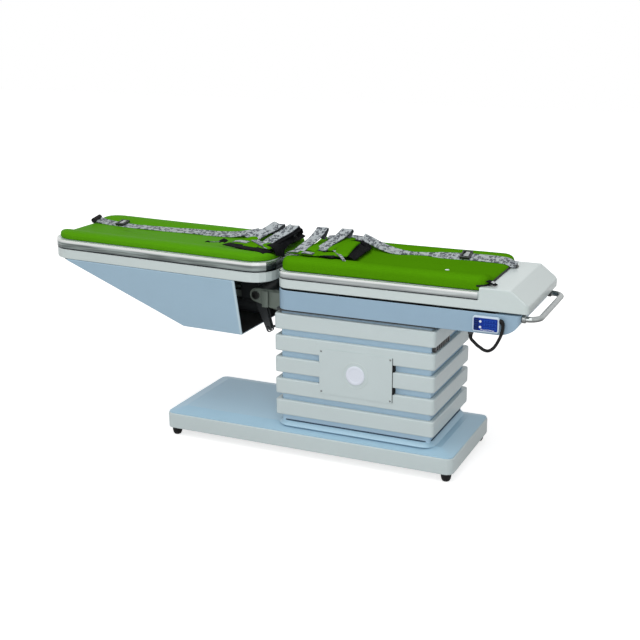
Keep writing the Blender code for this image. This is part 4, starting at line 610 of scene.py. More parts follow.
class Palette:
    """Every finish of the table, built once and picked by name."""

    def __init__(self, effects: SharedEffects, shift: float, lift: float) -> None:
        """Build the finishes, whose first numbers are roughness, mottle, dust, bump and grain.

        Args:
            effects: The shared node groups.
            shift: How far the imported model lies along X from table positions.
            lift: How far it lies above them.
        """
        coated = {"coat": 0.08, "coat_roughness": 0.3}
        moved = {"shift": shift, "lift": lift}
        metal = {"metallic": 1.0, "smudge": 0.08}
        sooty = {"dust_colour": (0.1, 0.1, 0.1)}
        film = Finish("membrane", shade(8, 46, 138), 0.40, 0.08, 0.0, 0.1, 1400.0, specular=0.15)
        finishes = (
            Finish("white_paint", shade(191, 203, 204), 0.38, 0.05, 0.06, 0.06, 260.0,
                   coat=0.10, coat_roughness=0.25),
            Finish("white_shell", shade(196, 207, 206), 0.30, 0.04, 0.05, 0.05, 180.0,
                   coat=0.18, coat_roughness=0.15),
            Finish("blue_paint", shade(141, 168, 188), 0.42, 0.06, 0.08, 0.07, 260.0,
                   dust_colour=(0.40, 0.48, 0.55), **coated),
            Finish("lid_paint", shade(160, 194, 213), 0.42, 0.06, 0.06, 0.07, 260.0,
                   dust_colour=(0.48, 0.56, 0.62), **coated),
            # The column core's blue, painted lighter to cancel the shade in the recesses between the bands.
            Finish("core_blue_painted_lighter", shade(174, 202, 222), 0.45, 0.05, 0.05, 0.07, 260.0,
                   dust_colour=(0.5, 0.58, 0.64)),
            # A dark blue for the band of painted contact shadow round the column's foot.
            Finish("contact_shadow_dark", shade(40, 62, 84), 0.6, 0.1, 0.0, 0.05),
            ShellPaint("shell_paint", shade(150, 177, 195), 0.40, 0.06, 0.04, 0.07, 260.0,
                       **coated, **moved),
            Finish("grey_frame", shade(112, 122, 114), 0.5, 0.16, 0.1, 0.15, 300.0),
            Finish("dark_frame", shade(38, 42, 44), 0.48, 0.2, 0.08, 0.15, 300.0,
                   dust_colour=(0.15, 0.15, 0.15)),
            Vinyl("green_vinyl", shade(76, 137, 8), 0.50, 0.10, 0.0, 0.22, specular=0.0),
            # The leg pad's green, painted lighter for the extra light that falls on the leg pad.
            Vinyl("green_vinyl_painted_lighter", shade(80, 146, 14), 0.48, 0.10, 0.0, 0.22, specular=0.01),
            Webbing("webbing", shade(170, 177, 180), 0.78, 0.12, 0.0, 0.5, specular=0.1,
                    flecks=(0.045, 0.05, 0.065), fleck_share=0.88),
            Webbing("webbing_back", shade(92, 96, 102), 0.82, 0.15, 0.0, 0.5, specular=0.15,
                    flecks=(0.02, 0.022, 0.03), fleck_share=0.8),
            Webbing("black_webbing", shade(13, 14, 16), 0.85, 0.2, 0.0, 0.5, specular=0.06,
                    flecks=(0.012, 0.012, 0.014)),
            TrimSteel("chest_trim_steel", shade(182, 188, 188), 0.20, 0.05, 0.0, 0.03,
                      bottom=0.7172, height=0.0287, dim=0.72, foot=0.75, **metal, **moved),
            TrimSteel("leg_trim_steel", shade(152, 162, 160), 0.16, 0.05, 0.0, 0.03,
                      bottom=0.7292, height=0.0387, tilt=LEG_REST_TILT, **metal, **moved),
            Steel("brushed_steel", shade(168, 173, 173), 0.28, 0.05, 0.0, 0.12, **metal),
            Finish("black_plastic", shade(26, 27, 29), 0.42, 0.15, 0.05, 0.25, 900.0, **sooty),
            Finish("black_rubber", shade(13, 13, 14), 0.62, 0.2, 0.02, 0.3, 800.0, specular=0.2, **sooty),
            Finish("handset_shell", shade(190, 206, 220), 0.38, 0.05, 0.04, 0.2, 1100.0),
            film,
            replace(film, name="membrane_dark", colour=shade(6, 24, 80), bump=0.05),
            replace(film, name="membrane_light", colour=shade(26, 72, 164), bump=0.05),
            Finish("key_white", shade(218, 226, 234), 0.35, 0.05, 0.0, 0.05, 1400.0),
            Finish("pale_disc", shade(216, 221, 232), 0.34, 0.06, 0.0, 0.08, coat=0.15),
        )
        self.materials = {finish.name: finish.build(effects) for finish in finishes}

    def __getitem__(self, name: str) -> bpy.types.Material:
        """The material of that name."""
        return self.materials[name]


class Workshop:
    """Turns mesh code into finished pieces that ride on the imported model's bodies."""

    def __init__(self, palette: Palette) -> None:
        """Keep the palette."""
        self.palette = palette

    def piece(
        self, name: str, bm: Mesh, section: Section, finishes: str, slot: str,
        stands_for: str = "", subdivide: int = 0, sharp: float = 40.0,
    ) -> bpy.types.Object:
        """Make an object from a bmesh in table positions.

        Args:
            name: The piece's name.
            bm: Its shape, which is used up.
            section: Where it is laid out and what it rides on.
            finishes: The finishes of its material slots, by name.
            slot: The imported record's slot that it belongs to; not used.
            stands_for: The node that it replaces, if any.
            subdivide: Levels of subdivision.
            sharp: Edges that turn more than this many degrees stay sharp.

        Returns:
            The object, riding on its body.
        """
        bmesh.ops.recalc_face_normals(bm, faces=bm.faces)
        bmesh.ops.transform(bm, matrix=section.matrix(), verts=bm.verts)
        mesh = bpy.data.meshes.new(name)
        bm.to_mesh(mesh)
        bm.free()
        mesh.shade_smooth()
        mesh.set_sharp_from_angle(angle=radians(sharp))
        for finish in finishes.split():
            mesh.materials.append(self.palette[finish])
        piece = bpy.data.objects.new(name, mesh)
        bpy.context.scene.collection.objects.link(piece)
        if subdivide:
            modifier = piece.modifiers.new("Smooth", "SUBSURF")
            modifier.levels = modifier.render_levels = subdivide
        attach(piece, section.body.value)
        if stands_for:
            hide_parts(stands_for)
        LOG.info("made %s", name)
        return piece


def smooth_route(points: Sequence[Point], spacing: float) -> list[Vector]:
    """Points along a smooth curve through a route's own points.

    Args:
        points: The route.
        spacing: About how far apart the new points lie.

    Returns:
        The new points.
    """
    route = [Vector(point) for point in points]
    padded = [2 * route[0] - route[1], *route, 2 * route[-1] - route[-2]]
    result = [route[0]]
    for index in range(1, len(padded) - 2):
        before, start, end, after = padded[index - 1:index + 3]
        steps = max(1, round((end - start).length / spacing))
        for step in range(1, steps + 1):
            t = step / steps
            result.append((
                2 * start + (end - before) * t
                + (2 * before - 5 * start + 4 * end - after) * t ** 2
                + (3 * start - before - 3 * end + after) * t ** 3
            ) / 2)
    return result


def sweep(bm: Mesh, rings: Sequence[Sequence[Vector]], slot: int = 0) -> None:
    """Skin rings of points that correspond, with their ends capped.

    Args:
        bm: The mesh to add to.
        rings: The rings from one end to the other.
        slot: The material slot of the new faces.
    """
    loops = [[bm.verts.new(point) for point in ring] for ring in rings]
    faces = []
    for lower, upper in zip(loops, loops[1:]):
        count = len(lower)
        for index in range(count):
            following = (index + 1) % count
            faces.append(bm.faces.new((lower[index], lower[following], upper[following], upper[index])))
    faces.append(bm.faces.new(list(reversed(loops[0]))))
    faces.append(bm.faces.new(loops[-1]))
    for face in faces:
        face.material_index = slot


class BandKind(Enum):
    """The kinds of flat goods, with thickness, crown, ring spacing and whether the ends are plump."""

    PADDED = (0.011, 0.0045, 0.012, True)
    WEBBING = (0.0030, 0.0, 0.006, False)
    BACKING = (0.0050, 0.0010, 0.010, True)


PADDED, WEBBING, BACKING = BandKind


@dataclass(frozen=True)
class Band:
    """One length of belt or webbing: its width and middle line in millimetres and how it lies."""

    kind: BandKind
    width: float
    route: str
    across: Point = (1, 0, 0)

    END_PLUMPNESS: ClassVar[Point] = (0.4, 0.8, 1.0)
    SOFT_EDGE: ClassVar[float] = 0.93
    SWAY_SCALE: ClassVar[float] = 28.0

    def add_to(self, bm: Mesh, slots: tuple[int, int, int] = (0, 0, 0)) -> None:
        """Sweep the band with soft edges along its route.

        Args:
            bm: The mesh to add to.
            slots: The material slots of its upper face, its underside and its edges.
        """
        thickness, crown, spacing, plump_ends = self.kind.value
        points = smooth_route(read_route(self.route), spacing)
        last = len(points) - 1
        rings = []
        for index, point in enumerate(points):
            forward = (points[min(index + 1, last)] - points[max(index - 1, 0)]).normalized()
            wide = Vector(self.across)
            wide = (wide - forward * wide.dot(forward)).normalized()
            up = wide.cross(forward)
            plump = self.END_PLUMPNESS[min(index, last - index, 2)] if plump_ends else 1.0
            half = self.width / MILLIMETRES / 2 * (0.94 + 0.06 * plump)
            soft, t = half * self.SOFT_EDGE, thickness * plump
            section = (
                (-half, -t * 0.3), (-soft, -t / 2), (0, -t / 2), (soft, -t / 2), (half, -t * 0.3),
                (half, t * 0.3), (soft, t / 2), (half * 0.45, t / 2 + crown * 0.8 * plump),
                (0, t / 2 + crown * plump), (-half * 0.45, t / 2 + crown * 0.8 * plump),
                (-soft, t / 2), (-half, t * 0.3),
            )
            sway = Vector((0, 0, crown * 0.5 * noise.noise(point * self.SWAY_SCALE)))
            rings.append([point + sway + wide * a + up * b for a, b in section])
        upper, under, edge = slots
        around = (edge, under, under, edge, edge, edge, upper, upper, upper, upper, edge, edge)
        start = len(bm.faces)
        sweep(bm, rings, edge)
        bm.faces.ensure_lookup_table()
        for number in range(last * len(around)):
            bm.faces[start + number].material_index = around[number % len(around)]


def tube(bm: Mesh, path: Sequence[Vector], radii: Pair, steady: Point = (0, 1, 0), rib: float = 0.0,
         sides: int = 20, slot: int = 0) -> None:
    """A round tube along a path, tapered from one end to the other.

    Args:
        bm: The mesh to add to.
        path: The points that it follows.
        radii: Its radius at the first and the last point.
        steady: A direction that the path never takes.
        rib: How far its ribs stand out.
        sides: How many sides it has.
        slot: The material slot of its faces.
    """
    last = len(path) - 1
    rings = []
    for index, point in enumerate(path):
        share = index / last
        ahead = (path[min(index + 1, last)] - path[max(index - 1, 0)]).normalized()
        side = ahead.cross(Vector(steady)).normalized()
        over = side.cross(ahead)
        raised = rib if index % 2 and share < 0.75 else 0.0
        radius = radii[0] + (radii[1] - radii[0]) * share + raised
        angles = (2 * pi * step / sides for step in range(sides))
        rings.append([point + (side * cos(angle) + over * sin(angle)) * radius for angle in angles])
    sweep(bm, rings, slot)


def lathe(bm: Mesh, profile: Sequence[Pair], centre: Point, axis: Point, sides: int) -> None:
    """A round piece from a profile of radius and height along an axis.

    Args:
        bm: The mesh to add to.
        profile: Radius and height pairs from one end to the other.
        centre: Where the profile's height 0 lies.
        axis: The direction of its height.
        sides: How many sides it has.
    """
    turn = Vector(UPWARDS).rotation_difference(Vector(axis)).to_matrix()
    angles = [2 * pi * step / sides for step in range(sides)]
    rings = []
    for radius, height in profile:
        local = (Vector((radius * cos(angle), radius * sin(angle), height)) for angle in angles)
        rings.append([Vector(centre) + turn @ point for point in local])
    sweep(bm, rings)


def slab(bm: Mesh, centre: Point, size: Point, edge: float, slot: int = 0,
         turn: Optional[Matrix] = None) -> None:
    """A block with rounded edges.

    Args:
        bm: The mesh to add to.
        centre: Its middle.
        size: Its length along each axis.
        edge: The radius of its edges.
        slot: The material slot of its faces.
        turn: Its rotation about its middle.
    """
    place = Matrix.Translation(Vector(centre)) @ (turn or Matrix.Identity(4))
    block = bmesh.new()
    bmesh.ops.create_cube(block, size=1, matrix=Matrix.Diagonal((*size, 1)))
    bmesh.ops.bevel(block, geom=list(block.edges), offset=edge, segments=2, affect="EDGES", profile=0.5)
    for face in block.faces:
        face.material_index = slot
    bmesh.ops.transform(block, matrix=place, verts=block.verts)
    scratch = bpy.data.meshes.new("block")
    block.to_mesh(scratch)
    block.free()
    bm.from_mesh(scratch)
    bpy.data.meshes.remove(scratch)


def rounded_ring(x0: float, x1: float, half: float, radii: Pair, inset: float,
                 counts: tuple[int, int, int]) -> list[Pair]:
    """Points round a rectangle with round corners, even when it is drawn in.

    Args:
        x0: Its left end.
        x1: Its right end.
        half: Half its width.
        radii: The radius of the left and of the right corners.
        inset: How far it is drawn in.
        counts: Points along a side, an end and a corner.

    Returns:
        The points, from the back right corner round by the left end.
    """
    sides, ends, corner = counts
    a, b, h = x0 + inset, x1 - inset, half - inset
    rl, rr = (min(max(radius - inset, 0.02), h) for radius in radii)
    corners = ((b - rr, h - rr, rr), (a + rl, h - rl, rl), (a + rl, rl - h, rl), (b - rr, rr - h, rr))
    arcs = []
    for quarter, (cx, cy, radius) in enumerate(corners):
        angles = [(quarter + t / corner) * pi / 2 for t in range(corner + 1)]
        arcs.append([(cx + radius * cos(angle), cy + radius * sin(angle)) for angle in angles])
    points = []
    for quarter, arc in enumerate(arcs):
        points += arc
        start, end = arc[-1], arcs[(quarter + 1) % 4][0]
        count = sides if quarter % 2 == 0 else ends
        for step in range(1, count):
            t = step / count
            points.append((start[0] + (end[0] - start[0]) * t, start[1] + (end[1] - start[1]) * t))
    return points


@dataclass
class Fitting:
    """A sub-assembly that dresses one section of the table."""

    shop: Workshop
    section: Section

    def add(self, name: str, bm: Mesh, finishes: str, slot: str, **how: object) -> bpy.types.Object:
        """Finish one piece of the sub-assembly on its section."""
        return self.shop.piece(name, bm, self.section, finishes, slot, **how)


@dataclass
class Pad(Fitting):
    """A vinyl pad: soft upright sides, two raised long edges and a hollow between them."""

    name: str
    node: str
    x0: float
    x1: float
    corners: Pair
    bottom: float
    thickness: float
    edge: float = 0.030
    finish: str = "green_vinyl"
    seed: float = 3.0
    half: float = 0.221
    hollow: float = 0.023
    draw_in: float = 0.004
    ring_step: float = 0.016
    flat_share: float = 0.36
    slope_share: float = 0.43
    wrinkle: Pair = (0.0010, 0.0004)
    wrinkle_scale: Pair = (4.0, 8.0)
    finer: float = 3.1

    COUNTS: ClassVar[tuple[int, int, int]] = (56, 26, 8)
    WRINKLED_ABOVE: ClassVar[float] = 0.3
    SIDE: ClassVar[tuple[Pair, ...]] = (
        (0.20, 0.0), (0.06, 0.05), (0.0, 0.15), (0.0, 0.33), (0.015, 0.49), (0.05, 0.62), (0.13, 0.73),
        (0.25, 0.82), (0.42, 0.895), (0.62, 0.95), (0.84, 0.985), (1.08, 1.0),
    )

    def profile(self) -> list[Pair]:
        """The pad's outline from the seat up over the edge to the middle.

        Returns:
            Pairs of inset and height share.
        """
        pairs = [(self.edge * inset, share) for inset, share in self.SIDE]
        inset = self.edge * 1.08 + 0.014
        while inset < self.half - self.ring_step:
            pairs.append((inset, 1.0))
            inset += self.ring_step
        return pairs

    def top(self, y: float) -> float:
        """The height of the pad's top at a distance from its middle line."""
        side = min(1.0, max(0.0, (abs(y) / self.half - self.flat_share) / self.slope_share))
        return self.bottom + self.thickness - self.hollow * (1 - side * side * (3 - 2 * side))

    def build(self) -> None:
        """Make the pad in place of its plain solid."""
        bm = bmesh.new()
        rings = []
        for inset, share in self.profile():
            ring = []
            for x, y in rounded_ring(self.x0, self.x1, self.half, self.corners, inset, self.COUNTS):
                along = min(1.0, max(0.0, (x - self.x0) / (self.x1 - self.x0)))
                pull = self.draw_in * sin(pi * along) * min(1.0, abs(y) / self.half) ** 3
                z = self.bottom + share * (self.top(y) - self.bottom)
                if share > self.WRINKLED_ABOVE:
                    where = Vector((x * self.wrinkle_scale[0], y * self.wrinkle_scale[1], self.seed))
                    broad, fine = noise.noise(where), noise.noise(where * self.finer)
                    z += self.wrinkle[0] * broad + self.wrinkle[1] * fine
                ring.append(Vector((x, y - pull * (1 if y > 0 else -1), z)))
            rings.append(ring)
        sweep(bm, rings)
        pad = self.add(self.name, bm, self.finish, "green_vinyl", stands_for=self.node,
                       subdivide=1, sharp=70.0)


@dataclass
class Strap(Fitting):
    """A length of webbing that lies in a pad's hollow and lifts where the photograph shows it."""

    name: str
    node: str
    pad: Pad
    route: str
    twist: Optional[Colour] = None
    width: float = 0.046
    thickness: float = 0.0034
    spacing: float = 0.010
    gap: float = 0.0010
    ripple: float = 0.0008
    ripple_scale: Pair = (22.0, 14.0)
    edge_rise: float = 0.20
    thin_edge: float = 0.6

    ACROSS: ClassVar[Point] = (-1.0, -0.93, -0.5, 0.0, 0.5, 0.93, 1.0)
    SEED: ClassVar[float] = 2.0

    def half_width(self, x: float) -> float:
        """Half the width that the strap shows, less where it turns on its edge.

        Args:
            x: The place along the strap.

        Returns:
            Half the width there.
        """
        if self.twist is None:
            return self.width / 2
        middle, reach, share = self.twist
        return self.width / 2 * (1 - share / (1 + ((x - middle) / reach) ** 4))

    def build(self) -> None:
        """Make the strap in place of its plain solid."""
        bm = bmesh.new()
        rings = []
        for x, y, lift in smooth_route(read_route(self.route), self.spacing):
            half = self.half_width(x)
            lower, upper = [], []
            for share in self.ACROSS:
                at = y + share * half
                where = Vector((x * self.ripple_scale[0], at * self.ripple_scale[1], self.SEED))
                rest = self.pad.top(at) + self.gap + self.ripple * noise.noise(where)
                edge_on = (self.width / 2 - half) * self.edge_rise * share
                point = Vector((x, at, rest + lift + max(0.0, edge_on)))
                thick = self.thickness * (self.thin_edge if abs(share) == 1 else 1.0)
                lower.append(point)
                upper.append(point + Vector((0, 0, thick)))
            rings.append(lower + upper[::-1])
        sweep(bm, rings)
        self.add(self.name, bm, "webbing", "webbing", stands_for=self.node, sharp=50.0)


@dataclass
class LadderBuckle(Fitting):
    """A black ladder buckle: two side rails, three bars and a steel tongue between them."""

    name: str
    node: str
    pad: Pad
    x: float
    y: float
    length: float = 0.042
    width: float = 0.054
    height: float = 0.011
    rail: float = 0.007
    bar: float = 0.006
    tongue: Point = (0.017, 0.62, 0.0045)
    clearance: float = 0.0035

    def build(self) -> None:
        """Make the buckle in place of its plain solid."""
        bm = bmesh.new()
        for sign in (-1, 1):
            side = sign * (self.width - self.rail) / 2
            slab(bm, (0, side, 0), (self.length, self.rail, self.height), 0.0018)
        for step in (-1, 0, 1):
            along = step * (self.length - self.rail) / 2
            slab(bm, (along, 0, 0.001), (self.rail, self.width - self.rail, self.bar), 0.0015)
        length, share, height = self.tongue
        slab(bm, (0.005, -0.002, 0.0045), (length, self.width * share, height), 0.0015, slot=1)
        low, high = self.pad.top(self.y - self.width / 2), self.pad.top(self.y + self.width / 2)
        rest = (low + high) / 2 + self.clearance + self.height / 2
        lean = Matrix.Rotation((high - low) / self.width, 4, "X")
        bmesh.ops.transform(bm, matrix=Matrix.Translation((self.x, self.y, rest)) @ lean, verts=bm.verts)
        self.add(self.name, bm, "black_plastic brushed_steel", "black_plastic", stands_for=self.node)


@dataclass
class Harness(Fitting):
    """The folded harness on one pad: padded belts, black backing folds and webbing tails."""

    name: str
    bands: tuple[Band, ...]

    def build(self) -> None:
        """Make the harness in place of its plain solid, one piece for each kind of band."""
        for kind, label, finishes, slots, slot, how in (
            (PADDED, "belts", "green_vinyl black_webbing", (0, 1, 0), "green_vinyl",
             {"stands_for": self.name, "subdivide": 1}),
            (WEBBING, "webbing", "webbing webbing_back", (0, 1, 1), "webbing", {}),
            (BACKING, "folds", "black_webbing", (0, 0, 0), "webbing", {}),
        ):
            bm = bmesh.new()
            for band in self.bands:
                if band.kind is kind:
                    band.add_to(bm, slots)
            self.add(f"{self.name}_{label}", bm, finishes, slot, sharp=60.0, **how)


@dataclass
class HandsetCord(Fitting):
    """The handset's cord, its route and the sleeves at its two ends."""

    radius: float = 0.006
    spacing: float = 0.005
    sleeve_spacing: float = 0.003
    sleeve_taper: Pair = (1.36, 1.05)
    sleeve_rib: float = 0.0004
    gland: Point = (0.6725, -0.2110, 0.5808)
    arrival: Point = (0.7878, -0.2416, 0.6490)
    route: tuple[Point, ...] = (
        (0.6770, -0.2145, 0.5615), (0.6900, -0.2200, 0.5530), (0.7030, -0.2260, 0.5450),
        (0.7172, -0.2310, 0.5390), (0.7304, -0.2355, 0.5335), (0.7465, -0.2395, 0.5327),
        (0.7620, -0.2415, 0.5409), (0.7749, -0.2425, 0.5565), (0.7855, -0.2425, 0.5771),
        (0.7921, -0.2420, 0.5932), (0.7965, -0.2415, 0.6086), (0.7990, -0.2412, 0.6240),
        (0.7990, -0.2412, 0.6390),
    )

    def build(self) -> None:
        straight = 2 * self.radius
        below = (self.gland[0], self.gland[1], self.gland[2] - straight)
        beside = (self.arrival[0] + straight / 2, self.arrival[1], self.arrival[2])
        whole = (self.gland, below, *self.route, beside, self.arrival)
        points = smooth_route(whole, self.spacing)
        length = sum((b - a).length for a, b in zip(points, points[1:]))
        curve = bpy.data.curves.new("handset_lead", "CURVE")
        curve.dimensions = "3D"
        curve.bevel_depth = self.radius
        curve.bevel_resolution = 5
        curve.use_fill_caps = True
        spline = curve.splines.new("POLY")
        spline.points.add(len(points) - 1)
        move = self.section.matrix()
        for point, place in zip(spline.points, points):
            point.co = (*(move @ place), 1)
        spline.use_smooth = True
        cord = bpy.data.objects.new("handset_lead", curve)
        bpy.context.scene.collection.objects.link(cord)
        curve.materials.append(self.shop.palette["black_rubber"])
        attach(cord, self.section.body.value)
        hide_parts("handset_cord")
        bm = bmesh.new()
        fine = smooth_route(whole, self.sleeve_spacing)
        taper = (self.radius * self.sleeve_taper[0], self.radius * self.sleeve_taper[1])
        for end in (fine[:-10:-1], fine[:6]):
            tube(bm, end, taper, rib=self.sleeve_rib)
        sleeves = self.add("lead_sleeves", bm, "black_rubber", "rubber")
        move @ Vector(self.gland)
        LOG.info("cord length %.4f m", length)


@dataclass
class HandControl(Fitting):
    """The handset's round keys, its dark strip and the plain marks on its membrane."""

    x: float = 0.7375
    z: float = 0.6335
    face: float = -0.2502
    strip_x: float = -0.0345
    keys_x: float = -0.0195
    keys_z: Pair = (0.0105, -0.0105)
    field_step: float = 0.0135
    wave_height: float = 0.0010
    round_key: tuple[Pair, ...] = ((0.0046, 0.0), (0.0046, 0.0005), (0.0034, 0.0011))
    wave: Point = (1, -1, 0, 1, 0, -1)

    def build(self) -> None:
        """Make the keys and the marks on the keypad."""
        bm = bmesh.new()

        def mark(x: float, y: float, z: float, size: Point, edge: float, slot: int = 0) -> None:
            """Lay a thin mark at a place from the keypad's middle."""
            slab(bm, (self.x + x, self.face + y, self.z + z), size, edge, slot)

        mark(self.strip_x, -0.0002, 0.0, (0.017, 0.0010, 0.043), 0.0004, 1)
        for step in range(5):
            mark(self.strip_x, -0.0009, -0.016 + step * 0.008, (0.011, 0.0006, 0.0011), 0.0002, 2)
        for rise in self.keys_z:
            centre = (self.x + self.keys_x, self.face + 0.0001, self.z + rise)
            lathe(bm, self.round_key, centre, FRONT, 24)
        for row in (1, 0, -1):
            z = row * self.field_step
            mark(0.016, -0.0002, z, (0.044, 0.0009, 0.0085), 0.0004, 2)
            for column in range(4):
                mark(0.001 + column * 0.010, -0.0008, z, (0.0075, 0.0006, 0.0060), 0.0002, 3)
        for step, wave in enumerate(self.wave):
            z = -0.0196 + self.wave_height * wave
            mark(-0.0145 + step * 0.0085, 0.0001, z, (0.0078, 0.0007, 0.0022), 0.0003)
        self.add("handset_keys", bm, "key_white membrane_dark membrane_light membrane", "white_plastic")


@dataclass
class ColumnPlate(Fitting):
    """The column plate's screws, the plain rim and ring of its disc, and dark pieces of painted shadow at
    its right edge and in the gaps behind it.
    """

    gaps: tuple[Pair, ...]
    face: float = -0.2253
    screws_x: Pair = (0.078, 0.3665)
    screws_z: Pair = (0.4425, 0.2770)
    disc: Pair = (0.222, 0.3598)
    ring_radius: float = 0.0518
    edge_x: float = 0.374
    edge_shadow_height: float = 0.180
    screw: tuple[Pair, ...] = (
        (0.0042, 0.0), (0.0042, 0.0006), (0.0034, 0.0018), (0.0014, 0.0022), (0.0012, 0.0012),
    )
    rim: tuple[Pair, ...] = (
        (0.0382, -0.0019), (0.0382, 0.0002), (0.0370, 0.0009), (0.0290, 0.0012), (0.0270, 0.0006),
        (0.0265, -0.0004),
    )

    def build(self) -> None:
        """Make the screws, the disc's rim and ring, and the dark strip and blocks of painted shadow at the
        plate's edge.
        """
        bm = bmesh.new()
        for z in self.screws_z:
            for x in self.screws_x:
                lathe(bm, self.screw, (x, self.face - 0.0001, z), FRONT, 20)
        self.add("plate_screws", bm, "brushed_steel", "bright_steel")
        bm = bmesh.new()
        x, z = self.disc
        lathe(bm, self.rim, (x, self.face - 0.0019, z), FRONT, 64)
        self.add("disc_rim", bm, "pale_disc", "pale_disc")
        bm = bmesh.new()
        turns = (2 * pi * step / 64 for step in range(65))
        tube(bm, [
            Vector((x + self.ring_radius * cos(turn), self.face - 0.0001, z + self.ring_radius * sin(turn)))
            for turn in turns
        ], (0.0011, 0.0011), sides=10)
        self.add("disc_ring", bm, "white_shell", "pale_disc")
        # Painted shadow: a thin dark strip along the plate's right edge and dark blocks in the gaps between
        # the bands behind it.
        bm = bmesh.new()
        slab(bm, (self.edge_x + 0.0010, self.face + 0.0014, z), (0.0022, 0.0012, self.edge_shadow_height), 0.0003)
        for low, high in self.gaps:
            middle = (self.edge_x + 0.0030, self.face + 0.0120, (low + high) / 2)
            slab(bm, middle, (0.0075, 0.0200, high - low), 0.0003)
        self.add("plate_shadow_gap", bm, "black_rubber", "dark_steel")


@dataclass
class ChestEnd(Fitting):
    """What closes the chest pad's head end: a thin black tube along the end, a strap anchor, a second
    strap's tab and a stud.
    """

    pad: Pad
    end_line_route: str = (
        "690 -219.5 765.5, 712.4 -206.8 765.5, 724 -190 765.5, 727.8 -170 765.5, 727.8 0 765.5, "
        "727.8 170 765.5, 724 190 765.5, 712.4 206.8 765.5, 690 219.5 765.5"
    )
    anchor: Point = (0.7418, 0.122, 0.7662)
    plate: Point = (0.024, 0.036, 0.0055)
    loop: float = 0.0165
    tab_clip: Point = (0.7440, -0.1900, 0.7765)
    tab_lean: float = radians(20)
    tab: str = "722.5 -186 780, 731 -188 779, 739 -190 774.5, 748 -192 771, 756 -194 768"
    stud: Pair = (0.532, -0.072)
    stud_profile: tuple[Pair, ...] = (
        (0.0085, -0.0010), (0.0085, 0.0006), (0.0070, 0.0014), (0.0035, 0.0018),
    )

    def build(self) -> None:
        """Make the pieces."""
        bm = bmesh.new()
        # A thin black tube along the pad's head end.
        tube(bm, smooth_route(read_route(self.end_line_route), 0.010), (0.0036, 0.0036), UPWARDS, sides=12)
        self.add("pad_end_dark_line", bm, "black_rubber", "rubber")
        bm = bmesh.new()
        x, y, z = self.anchor
        slab(bm, (x, y, z), self.plate, 0.0015)
        for sign in (-1, 1):
            slab(bm, (x + 0.002, y + sign * 0.0162, z + 0.0050), (0.010, 0.0030, 0.0080), 0.0008)
        bar = [Vector((x + 0.002, y + sign * self.loop, z + 0.0070)) for sign in (-1, 0, 1)]
        tube(bm, bar, (0.0022, 0.0022), UPWARDS, sides=12, slot=1)
        self.add("anchor_loop", bm, "black_plastic brushed_steel", "black_plastic",
                 stands_for="strap_anchor")
        bm = bmesh.new()
        Band(BACKING, 30, self.tab, FRONT).add_to(bm)
        slab(bm, self.tab_clip, (0.0130, 0.0200, 0.0036), 0.0012, slot=1,
             turn=Matrix.Rotation(self.tab_lean, 4, "Y"))
        self.add("second_strap_tab", bm, "black_webbing brushed_steel", "webbing")
        bm = bmesh.new()
        x, y = self.stud
        lathe(bm, self.stud_profile, (x, y, self.pad.top(y) + 0.0002), UPWARDS, 28)
        self.add("pad_stud", bm, "pale_disc", "pale_disc")


@dataclass
class StandDetails(Fitting):
    """The bracket's ribs, the raised skirt round the column's foot and a thin dark band of painted contact
    shadow round the column just above it.
    """

    ribs: tuple[Pair, ...] = ((-0.2230, 0.0280), (-0.1780, 0.0480))
    rib_face: float = 0.1107
    rib_height: Pair = (0.5560, 0.6230)
    rise: float = 0.016
    spread: float = 0.020
    corner: float = 0.03
    # Height of the dark band of painted contact shadow.
    seam: float = 0.0045
    sunk: float = 0.0004

    def band_round_column(self, name: str, steps: Sequence[Pair], finish: str, **how: object) -> None:
        """Make a ring of steps round the column's foot.

        Args:
            name: The piece's name.
            steps: How far each step stands out and how high it lies above the lid.
            finish: Its finish.
            how: How its piece is made.
        """
        (x0, low_y, _), (x1, high_y, _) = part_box("column_core")
        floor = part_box("base_top")[1][2] - self.section.lift
        ends = (x0 - self.section.shift, x1 - self.section.shift, (high_y - low_y) / 2)
        bm = bmesh.new()
        rings = []
        for grow, height in steps:
            ring = rounded_ring(*ends, (self.corner, self.corner), -grow, (20, 12, 5))
            rings.append([Vector((x, y, floor + height)) for x, y in ring])
        sweep(bm, rings)
        self.add(name, bm, finish, "blue_paint", **how)

    def build(self) -> None:
        """Make the plates."""
        bm = bmesh.new()
        low, high = self.rib_height
        for x, width in self.ribs:
            for sign in (-1, 1):
                slab(bm, (x, sign * self.rib_face, (low + high) / 2), (width, 0.0030, high - low), 0.0010)
        self.add("bracket_ribs", bm, "grey_frame", "grey_paint")
        rise = self.rise
        self.band_round_column("column_foot_skirt", (
            (self.spread, -0.0010), (self.spread, 0.0006), (0.0070, rise - 0.0015), (0.0040, rise),
            (-0.0100, rise),
        ), "lid_paint", sharp=25.0)
        # A thin dark band round the column just above the skirt: painted contact shadow.
        low = rise - self.sunk
        high = low + self.seam
        self.band_round_column("column_foot_contact_shadow", (
            (0.0040, low), (0.0040, high), (-0.0020, high), (-0.0020, low),
        ), "contact_shadow_dark")


